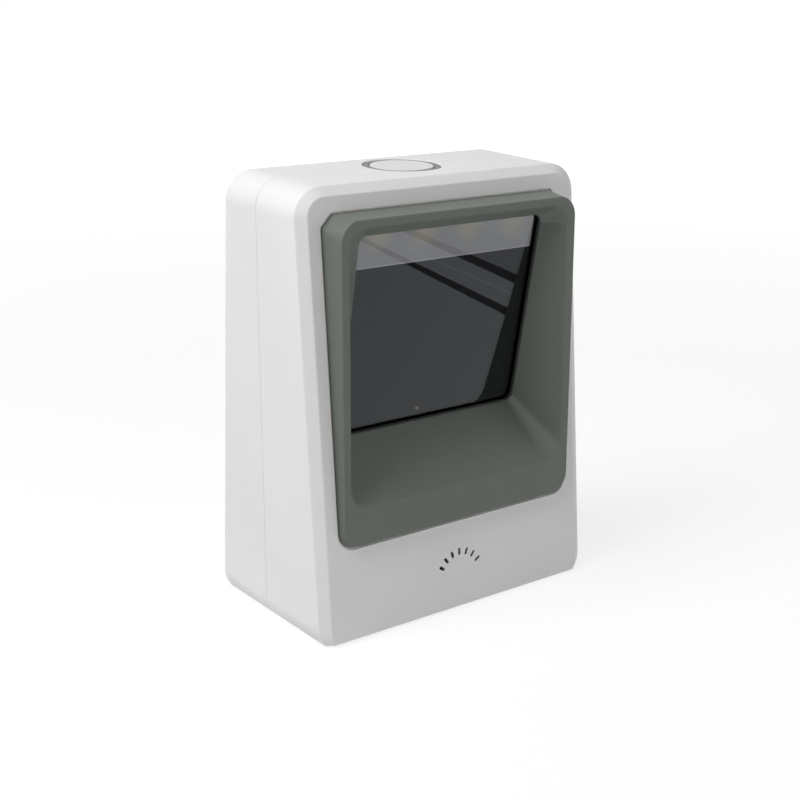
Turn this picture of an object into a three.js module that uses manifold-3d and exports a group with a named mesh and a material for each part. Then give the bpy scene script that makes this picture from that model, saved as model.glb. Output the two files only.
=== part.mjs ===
// Desktop presentation barcode scanner: an upright white housing in two halves, a grey window
// surround on its leaning front, a smoked scan window, a push button with a light ring on top,
// and the camera, lights, boards, speaker and ballast inside.
//
// Units are millimetres, +Z is up and the scanner looks along -Y. The origin is on the desk,
// under the middle of the housing. The two halves part at the plane y = 0.

import * as THREE from 'three';
import { mergeVertices } from 'three/addons/utils/BufferGeometryUtils.js';
import Module from 'manifold-3d';

const wasm = await Module();
wasm.setup();

// ---------------------------------------------------------------- driving dimensions

const WIDTH = 115.2;
const HEIGHT = 150;
const BASE_DEPTH = 70.4;          // front to back at desk level
const TOP_DEPTH = 47.8;           // front to back at the top
const GAP = 0.3;                  // air between pieces that meet

const WALL = 2.4;                 // moulded wall of both halves
const FLOOR = 3.0;                // wall under the feet
const UNDERSIDE = 0.8;            // height of the flat underside above the desk
const TOP_SLOPE = 0.04;           // the top rises this much per millimetre towards the rear
const TOP_BAND = 30;              // the slope fades out over this height below the top
const CORNER_RADIUS = 10;         // of the housing seen from the front
const CORNER_SINK = 3;            // the lower corners' outline runs this far below desk level
const CHAMFER_ACROSS = 3.7;       // of the front edge, seen from the front
const CHAMFER_DEEP = 2.2;         // of the front edge, front to back
const REAR_FILLET = 8;

const SURROUND_FRONT = -34.6;     // y of the surround's upright front plane
const SURROUND = { half: 48.3, low: 33.2, high: 139.7, radius: 7 };
const SURROUND_FOOT = { half: 49, low: 32.3, high: 140.7, radius: 5.5, cut: 4.2 };
const SURROUND_MOUTH = { half: 45.5, low: 45.5, high: 137, radius: 7 };
const SURROUND_EDGE = 0.8;        // bevel round the front plane
const SURROUND_WALL = 2.2;        // wall of the funnel behind the mouth
const RECESS = 0.8;               // the surround's foot stands this deep in the housing's face
const REVEAL = 0.45;              // dark gap left round the foot
const APERTURE = { half: 47.2, low: 35, high: 138.2, radius: 5, back: -21 };

const PANE_CENTRE = { y: -22.5, z: 99.05 };
const PANE_TILT = THREE.MathUtils.degToRad(10.9);   // top edge forward
const PANE_HALF = 37.7;           // half the visible width
const PANE_RISE = 35;             // half the visible height, along the pane
const PANE_RADIUS = 3;
const PANE_THICK = 1.8;
const DIFFUSER = { low: 22.4, thick: 0.9 };         // milky plate behind the top of the pane
const LED_COUNT = 4;
const LED_PITCH = 18.8;

const SLOT_COUNT = 7;
const SLOT_STEP = THREE.MathUtils.degToRad(19.5);
const SLOT_INNER = 7.8;           // radii of the sunburst of speaker slots
const SLOT_OUTER = 10.4;
const SLOT_WIDTH = 1.0;
const SLOT_CENTRE_Z = 11.5;

const BUTTON_RADIUS = 10.85;
const RING_INNER = 11.15;
const RING_OUTER = 13.15;
const BUTTON_HOLE = 13.45;
const BUTTON_TRAVEL = 0.8;        // the press of the button, which the clearances below allow

const CASE_SCREW = { x: 46, heights: [16, 137], front: -10, shank: 1.4, head: 2.7, thick: 2 };
const BOARD = { half: 40, low: 8, high: 116, front: 19, thick: 1.6 };
const BOARD_SCREW = { x: 37, heights: [24, 110], shank: 0.8, head: 2.4, thick: 1.6, back: 24 };
const FOOT = { x: 44, y: 23, radius: 5.5, tall: 2.2, bevel: 0.6 };

const CORNER_STEPS = 6;
const FILLET_STEPS = 5;
const ROUND = 24;                 // sides of a large round piece
const SMALL_ROUND = 12;           // sides of a small round piece

// ---------------------------------------------------------------- solids and shapes

/** A closed geometry of any winding as a solid. */
function solid(geometry) {
  const bare = geometry.clone();
  bare.deleteAttribute('normal');
  bare.deleteAttribute('uv');
  const merged = mergeVertices(bare);
  const vertProperties = new Float32Array(merged.attributes.position.array);
  const triVerts = new Uint32Array(merged.index.array);
  if (signedVolume(vertProperties, triVerts) < 0) triVerts.reverse();
  return new wasm.Manifold(new wasm.Mesh({ numProp: 3, vertProperties, triVerts }));
}

function signedVolume(points, triangles) {
  const [a, b, c] = [new THREE.Vector3(), new THREE.Vector3(), new THREE.Vector3()];
  let volume = 0;
  for (let i = 0; i < triangles.length; i += 3) {
    a.fromArray(points, triangles[i] * 3);
    b.fromArray(points, triangles[i + 1] * 3);
    c.fromArray(points, triangles[i + 2] * 3);
    volume += a.dot(b.cross(c)) / 6;
  }
  return volume;
}

function geometryOf(body) {
  const { vertProperties, triVerts } = body.getMesh();
  const geometry = new THREE.BufferGeometry();
  geometry.setAttribute('position', new THREE.BufferAttribute(new Float32Array(vertProperties), 3));
  geometry.setIndex(new THREE.BufferAttribute(new Uint32Array(triVerts), 1));
  return geometry;
}

const join = (first, ...rest) => rest.reduce((sum, body) => sum.add(body), first);
const cut = (first, ...rest) => rest.reduce((left, body) => left.subtract(body), first);

/** A block between two corners. */
function block([x0, y0, z0], [x1, y1, z1]) {
  const geometry = new THREE.BoxGeometry(x1 - x0, y1 - y0, z1 - z0);
  geometry.translate((x0 + x1) / 2, (y0 + y1) / 2, (z0 + z1) / 2);
  return solid(geometry);
}

/** A round bar along Z. */
function barZ(radius, x, y, low, high, sides = SMALL_ROUND) {
  const geometry = new THREE.CylinderGeometry(radius, radius, high - low, sides);
  geometry.rotateX(Math.PI / 2);
  geometry.translate(x, y, (low + high) / 2);
  return solid(geometry);
}

/** A round bar along Y. */
function barY(radius, x, z, front, back, sides = SMALL_ROUND) {
  const geometry = new THREE.CylinderGeometry(radius, radius, back - front, sides);
  geometry.translate(x, (front + back) / 2, z);
  return solid(geometry);
}

/** A round piece about Z from a profile of [radius, height] points, on the axis or closed on itself. */
function turned(profile, sides = ROUND) {
  const geometry = new THREE.LatheGeometry(profile.map(([r, h]) => new THREE.Vector2(r, h)), sides);
  geometry.rotateX(Math.PI / 2);
  return solid(geometry);
}

/** The outline of an upright rectangle with round corners, or with its top corners cut off. */
function outline({ half, low, high, radius, cut: topCut = 0 }) {
  const points = [];
  const corners = [[1, -1, -90], [1, 1, 0], [-1, 1, 90], [-1, -1, 180]];
  for (const [sideX, sideZ, start] of corners) {
    const straight = topCut > 0 && sideZ > 0;
    const reach = straight ? topCut : radius;
    const centre = [sideX * (half - reach), sideZ > 0 ? high - reach : low + reach];
    const at = (degrees) => {
      const angle = THREE.MathUtils.degToRad(degrees);
      return [centre[0] + reach * Math.cos(angle), centre[1] + reach * Math.sin(angle)];
    };
    const [first, last] = [at(start), at(start + 90)];
    for (let step = 0; step <= CORNER_STEPS; step += 1) {
      const t = step / CORNER_STEPS;
      const onLine = first.map((value, axis) => value + (last[axis] - value) * t);
      points.push(straight ? onLine : at(start + 90 * t));
    }
  }
  return points;
}

/** The same rectangle, larger all round by a margin. */
const grown = (shape, margin) => ({
  ...shape,
  half: shape.half + margin,
  low: shape.low - margin,
  high: shape.high + margin,
  radius: shape.radius + margin,
});

/** A ring of points from an outline, at a depth y that may change with height. */
const ringAt = (shape, depth) => outline(shape).map(([x, z]) => [x, depth(z), z]);
const flat = (y) => () => y;

/** A solid skinned over rings with equal numbers of points. */
function loft(rings) {
  const count = rings[0].length;
  const triangles = [];
  for (let ring = 0; ring + 1 < rings.length; ring += 1) {
    for (let i = 0; i < count; i += 1) {
      const a = ring * count + i;
      const b = ring * count + (i + 1) % count;
      triangles.push(a, b, a + count, b, b + count, a + count);
    }
  }
  const end = (rings.length - 1) * count;
  for (let i = 1; i + 1 < count; i += 1) {
    triangles.push(0, i + 1, i, end, end + i, end + i + 1);
  }
  const geometry = new THREE.BufferGeometry();
  geometry.setAttribute('position', new THREE.Float32BufferAttribute(rings.flat(2), 3));
  geometry.setIndex(triangles);
  return solid(geometry);
}

// ---------------------------------------------------------------- materials

function finish(color, roughness, metalness = 0) {
  return new THREE.MeshStandardMaterial({ color, roughness, metalness });
}

const WHITE_ABS = finish(0xe0dddd, 0.5);
const GREY_ABS = finish(0x7f827e, 0.55);
const SMOKED = finish(0x17181a, 0.08);
const MILKY = finish(0x9b9a9e, 0.5);
const BLACK = finish(0x111213, 0.7);
const RUBBER = finish(0x1d1d1e, 0.85);
const RING_PLASTIC = finish(0xb9bcbc, 0.35);
const BOARD_GREEN = finish(0x1f4a2e, 0.5);
const CHIP = finish(0x1a1b1d, 0.5);
const STEEL = finish(0x9a9da0, 0.35, 1);
const TIN = finish(0xb9bcbf, 0.3, 1);
const LENS_GLASS = finish(0x26303c, 0.05);
const LED_YELLOW = finish(0xe8c37a, 0.4);
const PAPER_CONE = finish(0x2a2825, 0.9);
const LEAD = finish(0x222326, 0.6);
const LABEL = finish(0xc9cacb, 0.5);

// ---------------------------------------------------------------- the assembly

const scanner = new THREE.Group();

/** Everything parallel to the scan window: X across, Y up the pane, Z out towards the viewer. */
const paneGroup = new THREE.Group();
paneGroup.position.set(0, PANE_CENTRE.y, PANE_CENTRE.z);
paneGroup.rotation.x = Math.PI / 2 + PANE_TILT;
paneGroup.updateMatrix();
scanner.add(paneGroup);

function add(name, body, material, parent = scanner) {
  const mesh = new THREE.Mesh(geometryOf(body), material);
  mesh.name = name;
  parent.add(mesh);
}

// ---------------------------------------------------------------- housing

const LEAN = (BASE_DEPTH - TOP_DEPTH) / 2 / HEIGHT;
const halfDepth = (z) => BASE_DEPTH / 2 - LEAN * z;
const INSIDE_FLOOR = UNDERSIDE + FLOOR;
const LOW_SHARE = 0.45;           // how much of an inset the lower edge takes: it stays sharp
const HIGH_SHARE = 0.82;          // how much of an inset the upper edge takes
const FAR = 200;                  // longer than the whole object, for cutting blocks

const housingOutline = (inset) => ({
  half: WIDTH / 2 - inset,
  low: inset * LOW_SHARE - CORNER_SINK,
  high: HEIGHT - inset * HIGH_SHARE,
  radius: CORNER_RADIUS - inset,
});

/** A ring of the housing at a depth y that may change with height, under the sloping top. */
const housingRing = (inset, depth) => ringAt(housingOutline(inset), depth).map(([x, y, z]) => [
  x, y, z + TOP_SLOPE * y * Math.max(0, 1 - (HEIGHT - z) / TOP_BAND),
]);

const above = (z) => block([-FAR, -FAR, z], [FAR, FAR, FAR]);

function frontBulk() {
  return loft([
    housingRing(CHAMFER_ACROSS, (z) => -halfDepth(z)),
    housingRing(0, (z) => CHAMFER_DEEP - halfDepth(z)),
    housingRing(0, flat(-GAP / 2)),
  ]).intersect(above(UNDERSIDE));
}

function frontHollow() {
  return loft([
    housingRing(WALL, (z) => WALL - halfDepth(z)),
    housingRing(WALL, flat(1)),
  ]).intersect(above(INSIDE_FLOOR));
}

/** The rear half is a block whose back edges are rounded; skin takes the wall off for the hollow. */
function rearBody(skin, start) {
  const fillet = REAR_FILLET - skin;
  const rings = [housingRing(skin, flat(start))];
  for (let step = 0; step <= FILLET_STEPS; step += 1) {
    const angle = (step / FILLET_STEPS) * Math.PI / 2;
    const inset = skin + fillet * (1 - Math.cos(angle));
    const back = skin + fillet * (1 - Math.sin(angle));
    rings.push(housingRing(inset, (z) => halfDepth(z) - back));
  }
  return loft(rings);
}

const TOP_TILT = Math.atan(TOP_SLOPE);
const buttonHole = () => barZ(BUTTON_HOLE, 0, 0, -2 * WALL, WALL, ROUND)
  .rotate([THREE.MathUtils.radToDeg(TOP_TILT), 0, 0])
  .translate([0, 0, HEIGHT]);

const FOOT_POCKET = { radius: FOOT.radius + GAP, high: FOOT.tall + GAP };
const footPocket = (x, y) => barZ(FOOT_POCKET.radius, x, y, -WALL, FOOT_POCKET.high, ROUND);

function speakerSlot(index) {
  const middle = (SLOT_COUNT - 1) / 2;
  const geometry = new THREE.BoxGeometry(SLOT_OUTER - SLOT_INNER, 3 * WALL, SLOT_WIDTH);
  geometry.translate((SLOT_OUTER + SLOT_INNER) / 2, 0, 0);
  geometry.rotateY(-Math.PI / 2 - (index - middle) * SLOT_STEP);
  geometry.translate(0, -halfDepth(SLOT_CENTRE_Z), SLOT_CENTRE_Z);
  return solid(geometry);
}

const BOSS_RADIUS = 3.6;
const BOARD_BOSS_RADIUS = 3;
const SCREW_PILOT = CASE_SCREW.shank + GAP;
const PILOT_FRONT = CASE_SCREW.front - 2;
const SEAM_RIB = { low: 28, high: 124, thick: 1, front: -4, back: 2 };
const pairs = (xs, zs) => xs.flatMap((x) => zs.map((z) => [x, z]));
const SIDES = [-1, 1];
const caseScrewSpots = pairs(SIDES.map((side) => side * CASE_SCREW.x), CASE_SCREW.heights);
const boardScrewSpots = pairs(SIDES.map((side) => side * BOARD_SCREW.x), BOARD_SCREW.heights);

/** A rib along each side of the front half that locates the rear half. */
function seamRib(side) {
  const outer = WIDTH / 2 - WALL - GAP;
  const inner = outer - SEAM_RIB.thick;
  const place = (reach, back) => block(
    [Math.min(side * inner, side * reach), SEAM_RIB.front, SEAM_RIB.low],
    [Math.max(side * inner, side * reach), back, SEAM_RIB.high],
  );
  return join(place(outer + 2 * GAP, -GAP), place(outer, SEAM_RIB.back));
}

function frontShell() {
  let body = cut(frontBulk(), frontHollow());
  for (const [x, z] of caseScrewSpots) {
    body = join(body, barY(BOSS_RADIUS, x, z, WALL / 2 - halfDepth(z), -GAP / 2));
  }
  body = join(body, ...SIDES.map(seamRib));
  const recess = grown(SURROUND_FOOT, REVEAL);
  body = cut(
    body,
    loft([ringAt(recess, flat(-FAR)), ringAt(recess, (z) => RECESS - halfDepth(z))]),
    loft([ringAt(APERTURE, flat(-FAR)), ringAt(APERTURE, flat(APERTURE.back))]),
    buttonHole(),
  );
  for (const [x, z] of caseScrewSpots) body = cut(body, barY(SCREW_PILOT, x, z, PILOT_FRONT, GAP));
  for (let i = 0; i < SLOT_COUNT; i += 1) body = cut(body, speakerSlot(i));
  return cut(body, ...SIDES.map((side) => footPocket(side * FOOT.x, -FOOT.y)));
}

add('front_shell', frontShell(), WHITE_ABS);

// The host cable plugs into a modular socket at the foot of the rear face.
const SOCKET = { half: 6.9, low: 7.9, high: 19.5, front: 20.9, back: 33.2 };
const SOCKET_MOUTH = { half: 5.6, low: 9.6, high: 17.2, wall: 1.2 };
const SOCKET_LATCH = { half: 2.2, high: 18.6, wall: 4 };
const SCREW_SEAT = 8;             // y of the shoulder under a case screw's head
const COUNTERBORE = 3.1;

const REAR_BOSS = 4.2;
const BOARD_BACK = BOARD.front + BOARD.thick;
const LABEL_PLACE = { half: 21, front: 5, back: 25, deep: 0.7, film: 0.3 };

function rearShell() {
  let body = cut(
    rearBody(0, GAP / 2).intersect(above(UNDERSIDE)),
    rearBody(WALL, -1).intersect(above(INSIDE_FLOOR)),
  );
  for (const [x, z] of caseScrewSpots) {
    body = join(body, barY(REAR_BOSS, x, z, GAP / 2, halfDepth(z) - WALL / 2));
  }
  for (const [x, z] of boardScrewSpots) {
    body = join(body, barY(BOARD_BOSS_RADIUS, x, z, BOARD_BACK + GAP, halfDepth(z) - WALL / 2));
  }
  for (const [x, z] of caseScrewSpots) {
    body = cut(body, barY(SCREW_PILOT, x, z, -1, FAR), barY(COUNTERBORE, x, z, SCREW_SEAT, FAR));
  }
  for (const [x, z] of boardScrewSpots) {
    body = cut(body, barY(BOARD_SCREW.shank + GAP, x, z, BOARD_BACK, BOARD_SCREW.back + GAP));
  }
  const socketHole = block(
    [-SOCKET.half - GAP, SOCKET.front, SOCKET.low - GAP],
    [SOCKET.half + GAP, FAR, SOCKET.high + GAP],
  );
  const labelRecess = block(
    [-LABEL_PLACE.half, LABEL_PLACE.front, 0],
    [LABEL_PLACE.half, LABEL_PLACE.back, UNDERSIDE + LABEL_PLACE.deep],
  );
  const pockets = SIDES.map((side) => footPocket(side * FOOT.x, FOOT.y));
  return cut(body, buttonHole(), socketHole, labelRecess, ...pockets);
}

add('rear_shell', rearShell(), WHITE_ABS);

const HEX = 6;                    // sides of a screw's drive
const DRIVE_RADIUS = 1.1;

caseScrewSpots.forEach(([x, z], index) => {
  const headFront = SCREW_SEAT + GAP;
  const headBack = headFront + CASE_SCREW.thick;
  const head = barY(CASE_SCREW.head, x, z, headFront, headBack);
  const shank = barY(CASE_SCREW.shank, x, z, CASE_SCREW.front, (headFront + headBack) / 2);
  const drive = barY(DRIVE_RADIUS, x, z, (headFront + headBack) / 2, FAR, HEX);
  add(`case_screw_${index + 1}`, cut(join(head, shank), drive), STEEL);
});

let footNumber = 0;
for (const y of [-FOOT.y, FOOT.y]) {
  for (const side of SIDES) {
    footNumber += 1;
    const profile = [
      [0, 0], [FOOT.radius - FOOT.bevel, 0], [FOOT.radius, FOOT.bevel],
      [FOOT.radius, FOOT.tall], [0, FOOT.tall],
    ];
    const foot = turned(profile).translate([side * FOOT.x, y, 0]);
    add(`rubber_foot_${footNumber}`, foot, RUBBER);
  }
}

const labelTop = UNDERSIDE + LABEL_PLACE.deep - GAP;
const labelPlate = block(
  [GAP - LABEL_PLACE.half, LABEL_PLACE.front + GAP, labelTop - LABEL_PLACE.film],
  [LABEL_PLACE.half - GAP, LABEL_PLACE.back - GAP, labelTop],
);
add('blank_label', labelPlate, LABEL);

// ---------------------------------------------------------------- window surround

const paneShape = (margin) => ({
  half: PANE_HALF + margin,
  low: -PANE_RISE - margin,
  high: PANE_RISE + margin,
  radius: PANE_RADIUS + Math.max(margin, 0),
});

/** A ring in the pane's own frame: out is the distance towards the viewer. */
const paneRing = (shape, out) => outline(shape).map(([x, up]) => [x, up, out]);

/** The same ring carried into the scanner's frame. */
const paneRingPlaced = (shape, out) =>
  paneRing(shape, out).map((point) => new THREE.Vector3(...point).applyMatrix4(paneGroup.matrix).toArray());

const LEDGE = 0.7;                // the surround's ledge in front of the pane
const SEAT_MARGIN = 4.8;
const SEAT_OUT = 1.5;
const SEAT_BACK = -4.6;
const POCKET_MARGIN = 2.4;
const MOUTH_LIP = 1;              // how far behind the front plane the funnel's wall starts

function windowSurround() {
  const front = loft([
    ringAt(grown(SURROUND, -SURROUND_EDGE), flat(SURROUND_FRONT)),
    ringAt(SURROUND, flat(SURROUND_FRONT + SURROUND_EDGE)),
    ringAt(SURROUND_FOOT, (z) => RECESS - GAP - halfDepth(z)),
  ]);
  const funnelWall = loft([
    ringAt(grown(SURROUND_MOUTH, SURROUND_WALL - MOUTH_LIP), flat(SURROUND_FRONT + MOUTH_LIP)),
    paneRingPlaced(paneShape(SURROUND_WALL), -LEDGE),
  ]);
  const seat = loft([SEAT_OUT, SEAT_BACK].map((out) => paneRingPlaced(paneShape(SEAT_MARGIN), out)));
  const funnel = loft([
    ringAt(SURROUND_MOUTH, flat(SURROUND_FRONT - MOUTH_LIP)),
    ringAt(SURROUND_MOUTH, flat(SURROUND_FRONT)),
    paneRingPlaced(paneShape(0), 0),
    paneRingPlaced(paneShape(0), -2 * LEDGE),
  ]);
  const pocket = loft([-LEDGE, 3 * SEAT_BACK].map((out) => paneRingPlaced(paneShape(POCKET_MARGIN), out)));
  return cut(join(front, funnelWall, seat), funnel, pocket);
}

add('window_surround', windowSurround(), GREY_ABS);

/** A flat frame or plate parallel to the pane. */
const panePlate = (shape, out, back) => loft([paneRing(shape, out), paneRing(shape, back)]);

const GASKET_THICK = 0.6;
const GASKET_LIP = 0.2;           // how far the gasket shows inside the ledge
const GASKET_OUT = -LEDGE - GAP;
const GASKET_BACK = GASKET_OUT - GASKET_THICK;
const PANE_OUT = GASKET_BACK - GAP;
const PANE_BACK = PANE_OUT - PANE_THICK;

const gasket = cut(
  panePlate(paneShape(POCKET_MARGIN - GAP), GASKET_OUT, GASKET_BACK),
  panePlate(paneShape(-GASKET_LIP), 0, 2 * GASKET_BACK),
);
add('window_gasket', gasket, RUBBER, paneGroup);
add('scan_window', panePlate(paneShape(POCKET_MARGIN - GAP), PANE_OUT, PANE_BACK), SMOKED, paneGroup);

// ---------------------------------------------------------------- camera and lights

const HOOD_OUT = PANE_BACK - GAP;
const HOOD_SHOULDER = -11;
const HOOD_STEP = 1.5;            // depth of the shoulder
const HOOD_END = -27;
const HOOD_WALL = 1.2;
const HOOD_MIDDLE = { half: 30, low: -27, high: 27, radius: 4 };
const HOOD_NARROW = { half: 11, low: -11, high: 11, radius: 2 };

/** The hood's rings drawn in by a skin, from the pane back to the camera. */
function hoodRings(skin) {
  const wide = paneShape(POCKET_MARGIN - 2 * GAP - skin);
  return [
    paneRing(wide, HOOD_OUT),
    paneRing(wide, HOOD_SHOULDER + skin),
    paneRing(grown(HOOD_MIDDLE, -skin), HOOD_SHOULDER - HOOD_STEP + skin),
    paneRing(grown(HOOD_NARROW, -skin), HOOD_END),
  ];
}

/** The same ring, moved along the pane's normal. */
const shifted = (ring, out) => ring.map(([x, up, at]) => [x, up, at + out]);

function lightHood() {
  const hollow = hoodRings(HOOD_WALL);
  const ends = [shifted(hollow[0], 1), shifted(hollow[hollow.length - 1], -1)];
  return cut(loft(hoodRings(0)), loft([ends[0], ...hollow, ends[1]]));
}

add('light_hood', lightHood(), BLACK, paneGroup);

/** The milky plate just behind the top of the pane spreads the lamps' light. */
const diffuserOut = HOOD_OUT - GAP;
const diffuser = panePlate(paneShape(0), diffuserOut, diffuserOut - DIFFUSER.thick)
  .intersect(block([-FAR, DIFFUSER.low, -FAR], [FAR, FAR, FAR]));
add('light_diffuser', diffuser, MILKY, paneGroup);

const LED_BOARD = { half: 34, low: 28.5, high: 35.4, out: -8.6, back: -9.6 };
const LED = { half: 1.75, low: 31.6, high: 34.4, tall: 1.2 };
add('led_board', block(
  [-LED_BOARD.half, LED_BOARD.low, LED_BOARD.back],
  [LED_BOARD.half, LED_BOARD.high, LED_BOARD.out],
), BOARD_GREEN, paneGroup);

const lampSeat = LED_BOARD.out + GAP;
for (let i = 0; i < LED_COUNT; i += 1) {
  const x = (i - (LED_COUNT - 1) / 2) * LED_PITCH;
  const chip = block([x - LED.half, LED.low, lampSeat], [x + LED.half, LED.high, lampSeat + LED.tall]);
  add(`scan_led_${i + 1}`, chip, LED_YELLOW, paneGroup);
}

const SENSOR_BOARD = { half: 9, low: -35.4, high: -30.5 };
const SENSOR = { half: 0.6, low: -34.9, high: -34.1, tall: 0.8 };
add('sensor_board', block(
  [-SENSOR_BOARD.half, SENSOR_BOARD.low, LED_BOARD.back],
  [SENSOR_BOARD.half, SENSOR_BOARD.high, LED_BOARD.out],
), BOARD_GREEN, paneGroup);
add('presence_sensor', block(
  [-SENSOR.half, SENSOR.low, lampSeat],
  [SENSOR.half, SENSOR.high, lampSeat + SENSOR.tall],
), LED_YELLOW, paneGroup);

// The camera stands behind the hood's small end and looks out through it.
const HOLDER = { half: 7, out: HOOD_END + 4, back: -34, floor: 3, windowHalf: 5 };
const BARREL = { bore: 2.1, radius: 4.4, rim: 5.2, rimBore: 3.6, rimTall: 2, step: 1, seat: 0.6 };
const barrelBack = HOLDER.back + HOLDER.floor + 2 * GAP;
const lensHolder = cut(
  block([-HOLDER.half, -HOLDER.half, HOLDER.back], [HOLDER.half, HOLDER.half, HOLDER.out]),
  barZ(BARREL.radius + GAP, 0, 0, HOLDER.back + HOLDER.floor, 0, ROUND),
  block(
    [-HOLDER.windowHalf, -HOLDER.windowHalf, HOLDER.back - 1],
    [HOLDER.windowHalf, HOLDER.windowHalf, HOLDER.back + HOLDER.floor + GAP],
  ),
);
add('lens_holder', lensHolder, BLACK, paneGroup);

const rimLow = HOLDER.out + BARREL.step;
const rimHigh = rimLow + BARREL.rimTall;
const lensSeat = HOLDER.out + BARREL.seat;
const barrel = turned([
  [BARREL.bore, barrelBack], [BARREL.radius, barrelBack], [BARREL.radius, rimLow],
  [BARREL.rim, rimLow], [BARREL.rim, rimHigh], [BARREL.rimBore, rimHigh],
  [BARREL.rimBore, lensSeat], [BARREL.bore, lensSeat], [BARREL.bore, barrelBack],
]);
add('lens_barrel', barrel, BLACK, paneGroup);
const lensBottom = lensSeat + GAP;
const LENS_DOME = [[3.3, 0], [3.3, 0.6], [2.6, 1.1], [1.4, 1.4], [0, 1.5]];
const lens = turned([[0, lensBottom], ...LENS_DOME.map(([r, h]) => [r, lensBottom + h])]);
add('camera_lens', lens, LENS_GLASS, paneGroup);

const CAMERA_BOARD = { halfX: 15, halfUp: 12, thick: 1.4 };
const IMAGE_SENSOR = { halfX: 4, halfUp: 3.6, tall: 1.2 };
const cameraBoardOut = HOLDER.back - GAP;
add('image_sensor', block(
  [-IMAGE_SENSOR.halfX, -IMAGE_SENSOR.halfUp, HOLDER.back],
  [IMAGE_SENSOR.halfX, IMAGE_SENSOR.halfUp, HOLDER.back + IMAGE_SENSOR.tall],
), CHIP, paneGroup);
add('camera_board', block(
  [-CAMERA_BOARD.halfX, -CAMERA_BOARD.halfUp, cameraBoardOut - CAMERA_BOARD.thick],
  [CAMERA_BOARD.halfX, CAMERA_BOARD.halfUp, cameraBoardOut],
), BOARD_GREEN, paneGroup);

// ---------------------------------------------------------------- main board and socket

function mainBoard() {
  const board = block(
    [-BOARD.half, BOARD.front, BOARD.low],
    [BOARD.half, BOARD_BACK, BOARD.high],
  );
  const hole = BOARD_SCREW.shank + 2 * GAP;
  return cut(board, ...boardScrewSpots.map(([x, z]) => barY(hole, x, z, 0, FAR)));
}

add('main_board', mainBoard(), BOARD_GREEN);

boardScrewSpots.forEach(([x, z], index) => {
  const seat = BOARD.front - GAP;
  const head = barY(BOARD_SCREW.head, x, z, seat - BOARD_SCREW.thick, seat);
  const shank = barY(BOARD_SCREW.shank, x, z, seat - BOARD_SCREW.thick / 2, BOARD_SCREW.back);
  add(`board_screw_${index + 1}`, join(head, shank), STEEL);
});

// Components on the front of the main board: their corners across and up, and how tall they stand.
const COMPONENTS = [
  { name: 'processor_shield', x: [-14, 14], z: [52, 76], tall: 2.4, material: TIN },
  { name: 'memory_chip', x: [18, 30], z: [56, 70], tall: 1.4, material: CHIP },
  { name: 'power_coil', x: [-30, -22], z: [30, 38], tall: 4.2, material: CHIP },
  { name: 'ribbon_connector', x: [-8, 8], z: [82, 86], tall: 1.6, material: LABEL },
];
for (const { name, x, z, tall, material } of COMPONENTS) {
  const seat = BOARD.front - GAP;
  add(name, block([x[0], seat - tall, z[0]], [x[1], seat, z[1]]), material);
}

const socketMouth = block(
  [-SOCKET_MOUTH.half, SOCKET.front + SOCKET_MOUTH.wall, SOCKET_MOUTH.low],
  [SOCKET_MOUTH.half, FAR, SOCKET_MOUTH.high],
);
const latchNotch = block(
  [-SOCKET_LATCH.half, SOCKET.front + SOCKET_LATCH.wall, SOCKET_MOUTH.low],
  [SOCKET_LATCH.half, FAR, SOCKET_LATCH.high],
);
const socketBody = block(
  [-SOCKET.half, SOCKET.front, SOCKET.low],
  [SOCKET.half, SOCKET.back, SOCKET.high],
);
add('cable_socket', cut(socketBody, socketMouth, latchNotch), BLACK);

// ---------------------------------------------------------------- ballast

const BALLAST = { half: 40, front: -18, back: 16, low: INSIDE_FLOOR + GAP, thick: 2.2 };
const ballastTop = BALLAST.low + BALLAST.thick;
add('ballast_plate', block(
  [-BALLAST.half, BALLAST.front, BALLAST.low],
  [BALLAST.half, BALLAST.back, ballastTop],
), STEEL);

// ---------------------------------------------------------------- speaker

/** The speaker faces the slots, square to the leaning front wall. */
const speakerGroup = new THREE.Group();
const SPEAKER_Z = 16.6;
speakerGroup.position.set(0, WALL + GAP - halfDepth(SPEAKER_Z), SPEAKER_Z);
speakerGroup.rotation.x = Math.PI / 2 - Math.atan(LEAN);
scanner.add(speakerGroup);

// Profiles of [radius, height], with height 0 at the front of the speaker.
const SPEAKER_GASKET = [[10.2, -0.8], [11.5, -0.8], [11.5, 0], [10.2, 0], [10.2, -0.8]];
const SPEAKER_BASKET = [
  [0, -5.4], [7, -5.4], [11.5, -3.4], [11.5, -1.1], [10.2, -1.1], [10.2, -2.6],
  [6.4, -4.2], [0, -4.2],
];
const SPEAKER_CONE = [
  [0, -3.4], [3.2, -3.4], [9.8, -1.9], [9.8, -1.5], [8.6, -1.3], [3.4, -2.6], [2.2, -2.1], [0, -1.8],
];
const SPEAKER_MAGNET = { radius: 6, back: -8.4, front: -5.7 };
add('speaker_gasket', turned(SPEAKER_GASKET), RUBBER, speakerGroup);
add('speaker_basket', turned(SPEAKER_BASKET), STEEL, speakerGroup);
add('speaker_cone', turned(SPEAKER_CONE), PAPER_CONE, speakerGroup);
const magnet = barZ(SPEAKER_MAGNET.radius, 0, 0, SPEAKER_MAGNET.back, SPEAKER_MAGNET.front, ROUND);
add('speaker_magnet', magnet, STEEL, speakerGroup);

// ---------------------------------------------------------------- button on top

/** The button leans with the sloping top, about the middle of the top. */
const leaningGroup = new THREE.Group();
leaningGroup.position.set(0, 0, HEIGHT);
leaningGroup.rotation.x = TOP_TILT;
scanner.add(leaningGroup);
const buttonGroup = new THREE.Group();
buttonGroup.position.set(0, 0, -HEIGHT);
leaningGroup.add(buttonGroup);

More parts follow.
